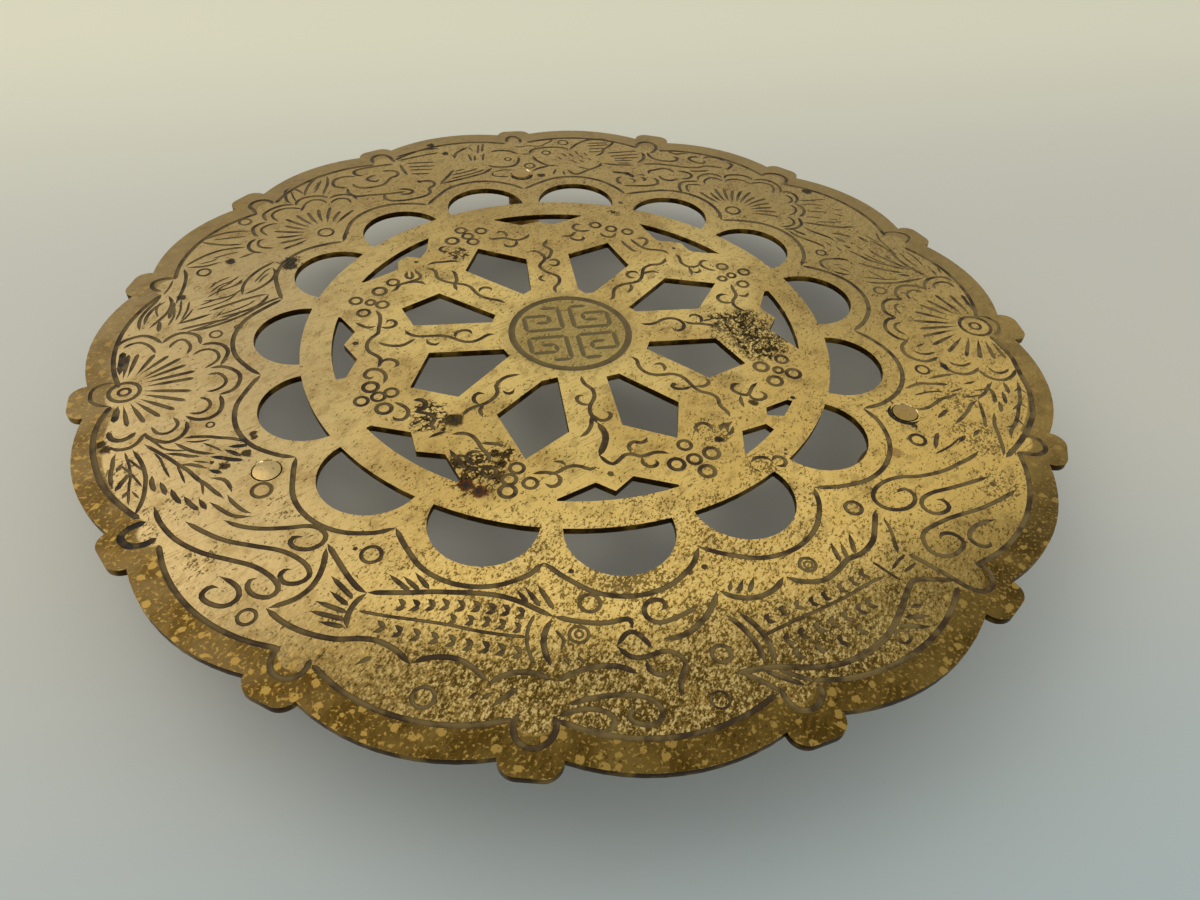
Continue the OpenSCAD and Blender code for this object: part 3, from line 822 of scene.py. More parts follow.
inner_petals = [
    [(103.1, 5.1), (103.5, 7), (105, 7.9), (106.8, 8.1), (108.3, 7.2), (109.1, 5.1)],
    [(93.9, 1.4), (93.7, 3.3), (94.8, 4.7), (96.4, 5.4), (98.1, 4.7), (98.9, 3.9)],
    [(90, -0.2), (88.3, -0.7), (87.6, -2.4), (87.9, -4.9)],
    [(86.5, -8.2), (84.6, -8.6), (83.6, -10.3), (84, -11.9), (85.2, -13.4)],
    [(84, -20), (85.2, -21.3), (87.3, -21.7), (89.4, -21.1)],
    [(85.2, -18.6), (88.1, -17.5)],
    [(90.8, -25.2), (91.9, -26.7), (93.9, -27.3), (96.4, -26.4)],
    [(99.8, -28.7), (100, -30.4), (101.6, -31.4), (103.7, -30.8), (104.7, -30)],
    [(-104, 7.3), (-102.9, 8.6), (-100.7, 9.2), (-98.6, 7.9), (-97.3, 6.1), (-96.6, 4.5)],
    [(-93.9, 6.1), (-93, 8.2), (-91.4, 9.2), (-89.9, 7.9), (-89.1, 5.8), (-89.6, 3.3)],
    [(-88.3, 2.7), (-86.8, 4.2), (-84.9, 4.5), (-83.1, 3.3), (-82.4, 0.8), (-83.4, -1), (-85.2, -2.6)],
    [(-84.3, -5), (-82.1, -4.8), (-80.6, -6.3), (-80, -8.2), (-80.9, -10), (-82.8, -11), (-84, -10.8)],
    [(-85.2, -12.8), (-83.4, -13.8), (-82.6, -15.6), (-83.4, -17.5), (-84.9, -18.2), (-86.8, -17.8)],
    [(-89.9, -18.7), (-88.7, -20.6), (-89, -22.4), (-90.5, -23.7), (-92.4, -23.4), (-93.9, -21.2)],
    [(-57.7, 70.3), (-57.4, 71.5), (-56, 73), (-54.5, 73.2), (-52.8, 72.3), (-52, 70)],
    [(-58.8, 70.7), (-60, 72.4), (-61.7, 73.1), (-63.4, 72.8), (-65, 70.8), (-65.5, 68.8), (-66.2, 66.8)],
    [(-65.8, 68), (-67.5, 68.8), (-70, 69), (-72, 68.3), (-73.7, 66.5), (-73.8, 64.5), (-72, 61.7)],
    [(-72, 60.6), (-73.5, 60.5), (-75, 59.8), (-76.2, 58.5), (-76.3, 57), (-75.3, 55.3), (-74.3, 54.3)],
    [(-75.2, 52.5), (-76.5, 52), (-76.8, 50), (-76, 48.6), (-74.5, 48), (-72.5, 47.7)],
    [(50.3, 65.3), (50, 67.5), (50.7, 70), (52, 70.3), (54.5, 70), (55.3, 69)],
    [(56.8, 70), (57, 72), (58.5, 73.5), (60, 74), (62, 73), (63, 71.3)],
    [(63.5, 71.3), (66, 72.3), (68, 72), (70, 70.8), (70.7, 69)],
    [(71, 68.7), (73, 69.2), (75.5, 69), (77.5, 67.5), (78, 65.3), (77.3, 63.3), (76.3, 62)],
    [(79.8, 60.5), (81, 59.3), (81.2, 57.5), (80.3, 56), (78.8, 55.5)],
    [(79.2, 54.2), (80.3, 52.5), (79.8, 50.5), (78.5, 49), (76.5, 48.3)],
    [(75.5, 47.5), (76.7, 46.3), (76.7, 44), (75.5, 42.5), (73.5, 42), (71.8, 42.3)],
]


def rays(middle, first, last, count, inner_r, outer_r):
    """Rays of a flower, uneven in length, thin at the middle and blunt at the outer end."""
    for k in range(count):
        a = first + (last - first) * k / (count - 1)
        far = outer_r * (1 - 0.09 * (k % 3 == 1) - 0.05 * (k % 2))
        near = inner_r * (1 + 0.12 * (k % 2))
        halfway = around(a + 1.5, (near + far) / 2, middle)
        ray = [around(a, near, middle), halfway, around(a, far, middle)]
        groove(ray, width=1.05, rise=0.5 * (far - near), fall=0.5)


for petals in (flower_right, flower_left, flower_rear_left, flower_rear_right):
    motif(petals, width=1.05, rise=1.5, fall=1.5)
motif(inner_petals, width=0.85, rise=1.5, fall=1.5)
deep_petal = [(-102.3, -21.5), (-101.4, -23.7), (-99.8, -24.6), (-98, -24), (-96.8, -22.4)]
groove(deep_petal, width=1.3, rise=1, fall=1)
left_rays = [
    ((-102.2, -4.3), (-102.4, 4.8)), ((-101.4, -3.8), (-100.4, 4.8)), ((-99.8, -3.5), (-96.7, 4.2)),
    ((-98.8, -2.9), (-93.6, 3.3)), ((-98.3, -4.5), (-90.8, 1.9)), ((-98, -5), (-89.3, -0.7)),
    ((-97.6, -6), (-87.1, -3.3)), ((-97.6, -7.4), (-87.1, -5.8)), ((-97.6, -8.8), (-87.1, -10.3)),
    ((-97.6, -10), (-88, -13.4)), ((-98, -11.3), (-89.9, -16.2)), ((-98.6, -12.2), (-92.6, -18.1)),
    ((-99.5, -12.5), (-95.5, -19.6)), ((-100.7, -13.1), (-98.8, -20.3)),
]
right_rays = [
    ((108.4, -7.3), (109.1, 1.4)), ((106.7, -7.3), (105.7, 1.8)), ((104.7, -7.3), (101.6, 2.4)),
    ((103.1, -7.4), (98.1, 0.3)), ((100.9, -7.3), (95, -1.3)), ((100.3, -9.2), (92.1, -4.2)),
    ((100.3, -10.5), (90.2, -8.1)), ((100.3, -11.8), (90, -11.4)), ((99.1, -13.1), (89.6, -14.6)),
    ((98.5, -14.8), (90, -18.4)), ((99.4, -16.3), (92.7, -21.7)), ((101.2, -16.7), (96.4, -24)),
    ((103.4, -17.3), (99.6, -25.2)), ((104.7, -18.4), (103.2, -26)), ((106.1, -19), (106.2, -26.2)),
]
motif(left_rays + right_rays, width=1.1, rise=5, fall=0.5)
broad_rays = [
    [(-103.2, -2.6), (-103.5, 2), (-103.8, 6)],
    [(-101.7, -13.3), (-101.7, -18.7)],
]
motif(broad_rays, width=1.6, rise=2.5, fall=0.8)
rear_left_middle = (-59, 54.3)
rear_right_middle = (60.3, 53)
rays(rear_left_middle, first=57, last=214, count=12, inner_r=5, outer_r=14)
rays(rear_right_middle, first=119, last=-22, count=13, inner_r=5.2, outer_r=14)
for x, y, outer_r, inner_r in ((105.4, -12.4, 4, 1.4), (-101.2, -8.7, 3.2, 1.2)):
    ring(x, y, radius=outer_r, width=1.0)
    ring(x, y, radius=inner_r, width=0.8)
ring(*rear_left_middle, radius=2.0, width=0.8)
ring(*rear_right_middle, radius=2.1, width=0.9)
round_the_rings = [
    [(108.5, -8.6), (110.4, -9), (111.6, -10.7), (112, -12.3), (111.2, -14.4), (109.7, -16.1),
     (108.1, -16.6)],
    [(-103.2, -5.1), (-105.7, -5.4), (-107.7, -6.6), (-108.1, -8.8), (-107.3, -11.3), (-105.1, -12.8),
     (-103.2, -13.1)],
]
motif(round_the_rings, width=0.9, rise=2.5, fall=2.5)

# Left fish
# It swims to the right along the front of the border: a fanned tail, a line along its side
# between rows of chevron scales, a double-ringed eye and scalloped fins.
left_fish = [
    [(-57.5, -59.5), (-56, -63), (-54, -67.5), (-52, -71), (-50.5, -72.3)],
    [(-50.5, -72.2), (-46, -73), (-43, -73.5), (-39, -74), (-35, -74.8), (-31, -75.7), (-27, -77),
     (-23.5, -79), (-20, -81.8), (-18.3, -83)],
    [(-18.3, -83), (-15.5, -84.3), (-12, -85.5), (-9, -86), (-5, -86), (-5, -88)],
    [(-57.7, -60.5), (-58.3, -65), (-60, -69), (-63, -71.5), (-67.5, -72.7)],
    [(-67.8, -72.7), (-65, -76), (-61, -79), (-56, -81.2), (-52, -81.8), (-49, -82.8), (-46, -85.2),
     (-43.7, -88.5)],
    [(-43.5, -88.2), (-41, -87.7), (-38, -88), (-35.5, -89), (-33, -91.5), (-31.3, -94)],
    [(-31.5, -94.5), (-29, -93.4), (-26, -93.1), (-23, -94), (-20.3, -95.8)],
    [(-20, -96), (-17, -94.9), (-13, -94.4), (-9, -95), (-6, -97)],
    [(-50.5, -72.3), (-52.5, -74), (-54, -77), (-54, -79.5)],
    [(-18.7, -83.5), (-20.3, -86), (-21, -89), (-20.5, -93)],
]
left_fish_thin = [
    [(-52, -76), (-47, -78), (-42, -79.7), (-37, -81.5), (-32, -83.7), (-27, -85.5), (-23.5, -86.5)],
    [(-21.5, -82), (-23, -84.5), (-23.8, -88), (-23.2, -92)],
    [(-18.5, -86), (-17.3, -88.3), (-18.3, -90)],
    [(-18, -91), (-17.3, -93.5)],
    [(-15.5, -91.5), (-14.8, -93.5)],
    [(-49.5, -88.3), (-48, -87.7)],
    [(-35, -96.7), (-33, -95.5)],
    [(-33, -97.2), (-30.5, -96)],
]
left_fish_ticks = [
    [(-56.8, -67.3), (-53, -73)],
    [(-57, -70.7), (-53.8, -74.5)],
    [(-59.5, -72.5), (-54, -76)],
    [(-60.5, -74.5), (-54.3, -77.5)],
    [(-59, -77), (-54.5, -79)],
    [(-46.5, -68.7), (-43, -73.2)],
    [(-44, -69.5), (-41.3, -73.3)],
    [(-41.8, -69), (-39.5, -73.3)],
    [(-24, -76), (-22.3, -79.5)],
    [(-22.3, -75.8), (-20.3, -80.5)],
    [(-20, -75.5), (-18, -81.5)],
    [(-53, -87), (-50, -85.8)],
    [(-31.5, -98.8), (-26.5, -96)],
]
motif(left_fish, width=1.2, rise=2, fall=2)
motif(left_fish_thin, width=0.75, rise=1.2, fall=1.2)
motif(left_fish_ticks, width=1.1, rise=2.5, fall=1)
ring(-14.5, -87.5, radius=1.7, width=0.7)
ring(-14.5, -87.5, radius=0.7, width=0.5)


def scales(places, turn, size=1.5):
    """Chevron scales, each two short pushes of the graver that meet. Turn is where they point."""
    for x, y in places:
        tip = around(turn, 0.45 * size, (x, y))
        for side in (-1, 1):
            start = around(turn + side * 125, size, (x, y))
            bend = around(turn + side * 87, 0.5 * size, (x, y))
            groove([start, bend, tip], width=1.1, rise=1.2, fall=0.5)


upper_scales = [
    (-44.7, -76), (-42.2, -76.5), (-39.5, -76.9), (-37, -77.3), (-34.3, -78), (-31.6, -78.6),
    (-29, -79.5), (-26.5, -80.3), (-24, -81.3),
]
middle_scales = [(-36, -80.6), (-33, -81.3), (-30.2, -82.1), (-27.6, -83.1), (-25, -84.3)]
lower_scales = [
    (-48.5, -80), (-45.5, -81.5), (-42.5, -82.7), (-39.5, -84), (-36.6, -85), (-33.8, -86.3),
    (-31, -87.3), (-28.4, -88.2), (-25.7, -89.3),
]
scales(upper_scales, turn=-20)
scales(middle_scales, turn=-20, size=1.3)
scales(lower_scales, turn=-20)

# Right fish
# It swims to the left, towards the other one, and has its back cut in three scallops.
right_fish = [
    [(0, -91), (3, -91), (6, -89.8), (9, -87.5), (11.5, -84.5), (12.4, -82.6)],
    [(12.9, -82.6), (15, -84.3), (18, -85.2), (21, -85), (24, -83.6), (26, -81.6)],
    [(26.4, -81.7), (29, -83.2), (33, -83.7), (36, -82.5), (38.5, -80.8), (40, -79.7), (43.5, -78.7),
     (47, -76), (49, -72.5), (51, -68.5)],
    [(10, -99.8), (17, -99.8), (22, -100.7), (27, -101.4), (32, -100.8), (37, -99), (41, -96.5),
     (45, -92.5), (48, -89), (50.5, -86.7), (54, -87), (58.5, -88)],
    [(12.5, -88), (14.5, -91), (16, -95), (16.3, -99)],
    [(15, -88), (17, -91), (18.2, -95), (18, -99.3)],
]
right_fish_thin = [
    [(17.5, -93.5), (24, -91.5), (30, -89.8), (36, -88), (41, -86), (45, -84.8)],
    [(44.5, -81), (46, -83.3), (48, -86.2)],
    [(51.7, -71), (51.7, -74.5), (51, -77.5), (50.5, -80)],
    [(47.5, -83.5), (50, -81.5), (51.8, -80.5)],
    [(49.5, -84.5), (51.5, -83.5), (53, -82.8)],
]
right_fish_ticks = [
    [(16, -80.5), (14.7, -83.2)],
    [(18.3, -80.7), (16.3, -83.7)],
    [(20.5, -80.5), (18.3, -84)],
    [(38.3, -75), (38.3, -80)],
    [(40.3, -75.3), (40, -79.6)],
    [(43, -73.3), (42, -78.6)],
    [(51.3, -76), (50.6, -79.5)],
    [(50, -94.7), (45, -94.2)],
    [(49, -97), (43, -95.7)],
    [(50, -92), (47, -92.3)],
]
motif(right_fish, width=1.25, rise=2, fall=2)
motif(right_fish_thin, width=0.75, rise=1.2, fall=1.2)
motif(right_fish_ticks, width=1.1, rise=2.5, fall=1)
upper_scales = [
    (20, -90.2), (23.2, -89), (26.5, -88.3), (29.5, -88), (32.3, -87.2), (36, -86), (39, -84.9),
    (41.6, -83.5),
]
middle_scales = [
    (22, -95), (25, -94.3), (28.5, -93.5), (31.5, -93), (34.5, -92.2), (37.6, -91.2), (40, -90.2),
]
lower_scales = [(22.7, -98), (27, -97.5), (31.5, -96.8), (36, -95.3)]
scales(upper_scales, turn=197, size=1.3)
scales(middle_scales, turn=197)
scales(lower_scales, turn=197, size=1.4)

# Between the fishes
# Wave scrolls, a scroll above and a twisted ribbon fill the middle of the front.
front_middle = [
    [(1, -85), (2.2, -84.3), (1.7, -82.9), (-0.3, -82.6), (-1.8, -84), (-1.8, -86), (0, -87.5), (3.5, -87),
     (8, -85.4)],
    [(-8.5, -91), (-5.5, -88.5), (-3.5, -90.3), (-2.5, -92.5)],
    [(-8.5, -91), (-6.5, -93.5), (-4, -94), (0, -93.5), (2.5, -96), (1, -99), (0, -102.5)],
    [(-4, -94.5), (-4, -96.5), (-2, -98), (0, -97)],
    [(-19, -100.5), (-15, -100.1), (-10, -100.3), (-6, -101.5), (-3.8, -104), (-5, -106.3), (-8, -106),
     (-9.5, -104.5), (-8, -103)],
    [(-21, -102.3), (-18, -101.8), (-14.5, -102.2), (-12, -104), (-12.7, -106), (-15, -106.2),
     (-16, -104.8)],
    [(11.5, -99.8), (14.5, -102.2), (17.5, -105)],
    [(15.5, -100.2), (18.5, -102.3), (21.5, -104)],
    [(17.8, -100.4), (20.5, -102), (23.5, -103.8)],
]
motif(front_middle, width=1.1, rise=1.8, fall=1.5)

# Scrolls left and right of the fishes
# Long S scrolls that each roll up in a spiral.
left_scrolls = [
    [(-77, -50.3), (-74, -52.3), (-70, -53.7), (-65, -54.3), (-61, -54.5), (-59, -55.5), (-57.8, -57.5),
     (-58.5, -59.3), (-60.5, -60.3), (-63, -59.8), (-64.3, -58.3), (-63.8, -57), (-62, -57)],
    [(-84, -49.5), (-80, -53), (-76, -55.7), (-71, -57.8), (-66, -59.8), (-63, -62), (-61, -64.5),
     (-60.7, -66.8), (-62.5, -68), (-65, -67.5), (-65.8, -65.8), (-65, -64.6), (-63.8, -64.6)],
    [(-90.2, -44.5), (-88.5, -49), (-85, -54), (-80, -58), (-75, -60.5), (-71, -62.5), (-68.5, -64.5),
     (-66.5, -67), (-66, -69), (-67.5, -70.3), (-70, -69.5), (-71.3, -67.7), (-71, -66), (-69.7, -65.7)],
    [(-76.5, -64), (-74, -66), (-72.7, -68), (-73, -70), (-75, -71), (-77.5, -70), (-79, -68.3),
     (-78.7, -67), (-77.5, -66.3), (-76.2, -66.8)],
]
right_scrolls = [
    [(82, -55.8), (79, -57.5), (76, -58.6), (71, -60.3), (65, -61), (60, -60.6), (56, -61.5), (53, -63.5),
     (52, -66), (53.5, -68.5), (57, -69.3), (60, -68), (61, -65.7), (59.8, -64), (57.5, -64.7)],
    [(80, -63.5), (75, -64.5), (70, -65.3), (65, -66), (62, -67.5), (61.3, -69.5), (62.5, -71.3),
     (65, -71.5), (66.8, -70.3), (66.5, -68.4), (65, -67.9)],
    [(84, -68), (79, -70), (73, -71.8), (66, -73), (61, -74.5), (58, -76), (57, -78.5), (57.5, -81),
     (60, -82.3), (63, -81.5), (65, -79.5), (64, -77.2), (61.7, -76.8), (60.6, -78)],
    [(75, -75), (71, -75.5), (68, -77), (66.8, -79), (68, -81), (70, -81.2), (70.5, -80)],
]
motif(left_scrolls, width=1.1, rise=3, fall=2)
motif(right_scrolls, width=1.05, rise=3, fall=2)

# Sprays of leaves
# Long pointed leaves with fine veins lie between the flowers and the scrolls.
left_rear_spray = [
    [(-92, 53.2), (-90, 55), (-86, 57), (-82, 57.6), (-79, 57.3)],
    [(-92, 53.2), (-89, 51.8), (-85, 50.7), (-80.5, 50.7)],
    [(-94.5, 41.2), (-91, 45), (-87, 47.8), (-83, 48.8), (-79.7, 49)],
    [(-94, 40.6), (-89, 40.8), (-85.5, 42.5)],
    [(-81.5, 43.5), (-79.5, 44.7), (-77.3, 46)],
    [(-94.6, 40.2), (-93.7, 37), (-93.5, 33), (-94, 28), (-94.6, 24)],
    [(-65.3, 75.6), (-65.2, 78), (-64, 83), (-62, 87), (-60.8, 88.5)],
    [(-60.2, 75.6), (-59.5, 79), (-58.8, 83), (-59, 87.5)],
    [(-69.5, 81.3), (-70.8, 79.5), (-70.7, 76), (-70, 73), (-68.7, 71.5)],
    [(-69.5, 81.3), (-67, 79), (-65.7, 76.8)],
    [(-79.1, 26), (-79.2, 30), (-78, 33.7), (-75.5, 37.5), (-71.8, 41)],
    [(-79, 26.2), (-76, 28), (-73.5, 30.5), (-72, 33), (-71.6, 36), (-72.5, 38)],
    [(-86.5, 20), (-82, 22.3), (-78, 24.2), (-75, 25.3), (-72.6, 25.8)],
    [(-72.6, 25.8), (-73.4, 23.5), (-75, 21), (-78, 19), (-81, 17.8), (-84, 16.8)],
    [(-69.3, 24.2), (-73, 22), (-75.3, 20), (-78, 17.5), (-82, 15), (-86, 13.2), (-90, 12.2)],
    [(-93, 13), (-88, 14.5), (-84, 15.6), (-81, 16.2)],
    [(-98.5, 27.7), (-99.7, 25), (-101.5, 21), (-102, 17.5), (-101.5, 14)],
    [(-96.8, 28.2), (-95.6, 25), (-96, 21), (-98, 17), (-99.5, 14.5)],
    [(-97, 25.7), (-99, 23.5), (-100.5, 20), (-100.8, 16)],
    [(-93.5, 15.5), (-89, 17.3), (-85.5, 19)],
]
right_rear_spray = [
    [(73, 40), (75, 36.2), (78, 33), (80, 30.7), (80.6, 28.6)],
    [(79.3, 43.8), (83, 42.2), (87, 40.6), (91, 39.4), (95, 39.4)],
    [(78.5, 41.3), (80, 38.7), (82, 36.6), (84, 34.5), (85, 32)],
    [(77.5, 17.6), (76, 20), (76.3, 22.3), (78, 23.2), (81, 23.3), (84, 22.3), (84.9, 20.8)],
    [(77.5, 17.6), (80, 15.6), (82.5, 14.8)],
    [(86.7, 27.3), (89, 24), (91, 21), (94, 18.8), (97, 16.8), (99.5, 15.3)],
    [(93, 27), (94, 24), (96, 21), (98, 18.3), (100.5, 15)],
    [(95.3, 31.5), (97.5, 28.5), (99, 25), (99.6, 20), (101, 16), (103.6, 11.3)],
    [(86.5, 20.6), (89, 18.6), (92, 16.6), (95, 14.9), (98, 13.8)],
    [(85, 11), (88, 10), (93, 9.4), (98, 9.9), (102.3, 10.6)],
    [(106.5, 15), (106.8, 12.4), (106.4, 10.7)],
]
right_front_spray = [
    [(73.9, -40.4), (75.5, -40.9), (77.8, -40.4), (80.3, -39.1), (82.3, -38.1), (84.2, -37.8), (87.1, -37)],
    [(97.8, -34.1), (95.8, -35.7), (93.9, -37.6), (91.3, -39.2), (90.6, -40)],
    [(90.5, -39.9), (88.1, -41.2), (86.2, -43.1), (83.6, -45.1), (80.7, -47)],
    [(90.7, -39.9), (90, -42.5), (89.1, -45.1), (88.4, -47), (87.4, -49.1)],
    [(92.3, -44.4), (91, -46.7), (90, -48.6), (89.4, -50.9), (88.6, -53.5), (87.6, -56.4), (86.5, -58.3)],
    [(75, -33.4), (77.4, -32.6), (79.7, -32.1), (82, -32.6), (85.8, -33.3)],
    [(90, -33.8), (92, -33.7), (93.9, -33.3)],
    [(82.3, -30.8), (85.8, -30.2), (90, -30)],
    [(104.1, -34.7), (103.3, -37), (102.3, -38.9), (100.7, -41.8), (99.2, -43.6), (97.8, -45.7),
     (96.5, -47.3), (94.6, -49.3), (92.6, -51.2), (91.5, -53.3)],
]
left_front_spray = [
    [(-96.6, -27.8), (-95.5, -29.6), (-94.3, -31.9), (-93.3, -34.6), (-92.7, -37.2), (-92.5, -42.5),
     (-93.4, -46.9)],
    [(-99.6, -28.3), (-99.9, -29.9), (-99.7, -31.9), (-99.6, -34.9), (-99.1, -37.2), (-98.5, -38.7)],
    [(-87.3, -25.7), (-84.4, -25.7), (-81.7, -26.1), (-79.7, -26.7), (-77.3, -27.3), (-75, -28.3),
     (-73.5, -29)],
    [(-94.6, -26.4), (-92.8, -28.1), (-90.8, -29.9), (-88.7, -31.9), (-87, -33.7), (-84.9, -35.7),
     (-82.9, -38.4), (-81.1, -40.1), (-79.7, -41.9), (-78.2, -43.6), (-77.2, -44.8)],
    [(-88.7, -26.8), (-86.7, -28.6), (-84.4, -30.2), (-82, -31.1), (-80, -31.5)],
    [(-90.2, -29.9), (-87.3, -30.6), (-84.9, -31.5), (-82.6, -31.8)],
    [(-87, -33.7), (-84.7, -34), (-82.6, -34.9), (-81.1, -35.7)],
    [(-80.6, -38.4), (-77.9, -39.3), (-76.8, -40.7), (-75.9, -43.3)],
    [(-76.8, -43.6), (-75.9, -45.4), (-74.4, -47.4), (-73, -48.8), (-71.6, -49.5)],
    [(-80, -45.1), (-78.2, -46.9), (-76.8, -48.3), (-75.3, -49.5), (-73.5, -50.1), (-71.6, -50.2)],
]
for spray in (left_rear_spray, right_rear_spray, right_front_spray, left_front_spray):
    motif(spray, width=0.95, rise=2.5, fall=2.5)

veins = [
    [(-98, -28.3), (-97.2, -30.5), (-96.4, -32.8), (-95.8, -35.2), (-95.6, -38.4), (-95.3, -41),
     (-94.9, -43.6)],
    [(-98.4, -31.9), (-95.8, -34.9), (-93.1, -39)],
    [(-94.9, -39.8), (-93.1, -42.2)],
    [(-97.2, -30.2), (-93.4, -34.6)],
    [(-94, -24.9), (-92.3, -26.4), (-90.5, -28.4), (-88.5, -29.2), (-85.8, -29.7)],
    [(-84.4, -33), (-82.6, -33.5), (-81.1, -34)],
    [(-92.3, -29.3), (-90.8, -31.4), (-89.6, -34.3), (-88.2, -37.2)],
    [(-87.3, -33.7), (-86.1, -36.6), (-85.1, -39.3)],
    [(-83.8, -36.6), (-82, -39.5), (-81.3, -43.1)],
    [(-86.5, -26.8), (-84, -27.3), (-81.5, -26.9)],
    [(-83, -27.8), (-80.5, -29.5), (-78.8, -31)],
    [(-89, 53.7), (-85, 54.2), (-80, 54.7)],
    [(-88, 44.3), (-84, 46), (-81.5, 46.7)],
    [(-91, 42), (-88, 43), (-86.3, 44.5)],
    [(-62.7, 77.3), (-61.5, 81), (-60.8, 85)],
    [(-63, 79.5), (-62, 81), (-61.6, 84)],
    [(-69.3, 79), (-68.5, 75.5), (-67.5, 72.5)],
    [(-72.5, 38), (-74, 36.6), (-75.5, 33.7), (-76.6, 31.4)],
    [(-73, 35.5), (-74.5, 33.5), (-75.5, 31)],
    [(-84, 18), (-80, 20), (-77, 22), (-75.7, 23.5)],
    [(-84.5, 17.3), (-83.3, 19.8)],
    [(-91, 11.8), (-86, 14.2), (-82, 16.5), (-79, 18)],
    [(-95, 24), (-94.4, 19), (-95.3, 15)],
    [(-93.5, 26), (-93.2, 21), (-93.8, 17)],
    [(-91.5, 25), (-91.6, 21), (-92.5, 17)],
    [(-90.3, 21.5), (-91.3, 18.5), (-93, 15.6)],
    [(-89.5, 21), (-85, 22.8), (-82, 24.8), (-80.3, 27.5)],
    [(-88.5, 24.5), (-84, 25.2), (-81, 26.8), (-79.3, 29)],
    [(-89, 22.7), (-86, 24.5), (-83, 26)],
    [(-87.5, 26), (-85, 28.5), (-83, 29.6), (-81, 31), (-79.5, 33.5)],
    [(-87, 28), (-85, 31), (-82, 33), (-80.4, 35)],
    [(-87.5, 30), (-85.3, 33), (-82.5, 35)],
    [(-85.3, 27), (-84.6, 30), (-82, 32)],
    [(-98.3, 25.5), (-98.8, 22), (-98, 19)],
    [(-96.6, 35), (-97, 32), (-98, 28.6)],
    [(83, 56.5), (87, 56.3), (92, 56.5)],
    [(82.7, 54), (86, 54), (90, 52.6)],
    [(83, 50.3), (86, 49.3), (88.3, 49), (89.3, 47.8)],
    [(81.5, 46.8), (84, 46.3), (86.5, 45.2)],
    [(91, 47.3), (94, 45.7)],
    [(84, 43.6), (88, 42.8), (92, 42.7)],
    [(92, 50), (95, 49.3)],
    [(86, 51.7), (89, 51)],
    [(88, 44.6), (91, 44)],
    [(95.3, 34.6), (96.5, 32), (97.7, 29.8)],
    [(99.5, 35.5), (98.8, 31.5), (99.4, 27), (100, 22.5)],
    [(88.3, 25.5), (89.8, 22.3)],
    [(88, 16.2), (89.6, 13.6), (91.2, 11.5)],
    [(85, 13), (88, 12.4), (91, 11.4), (95, 11)],
    [(101.5, 24), (102, 20), (103.2, 16)],
    [(104, 24), (105, 20), (105.2, 16.5)],
    [(109, 15.5), (108.6, 12)],
    [(90.5, 25), (92.5, 21.5), (95, 19)],
    [(90, 29), (91.5, 26.5)],
    [(84, 29.5), (84.8, 26.5)],
    [(81.8, 32.5), (83, 29.5)],
    [(96.3, 23.5), (97.5, 20.5)],
    [(88.7, 31), (90.8, 30)],
    [(79.8, 19), (81.3, 17.7), (82.6, 16)],
    [(79.3, 20.6), (81.8, 19.8)],
    [(103.3, -37), (101.2, -38.4)],
    [(100, -42.6), (97.1, -44.4)],
    [(96.5, -48), (94.4, -49.4), (92, -49.7)],
    [(103.3, -37.6), (103.9, -39.6)],
    [(100.4, -42.2), (101, -44.4)],
    [(96.5, -47), (96.8, -49.9)],
    [(71.5, -55.2), (76, -53.5), (80, -51)],
    [(76, -36), (80, -35.4), (84, -35.6)],
    [(85.2, -36.3), (89.4, -35.2)],
    [(95.4, -36), (94.3, -36.5), (91.3, -36.5)],
    [(92.5, -38.2), (90, -38.5), (87, -38.3)],
    [(69.5, -36.3), (69.4, -38.6)],
]
motif(veins, width=0.6, rise=1.5, fall=1.5)

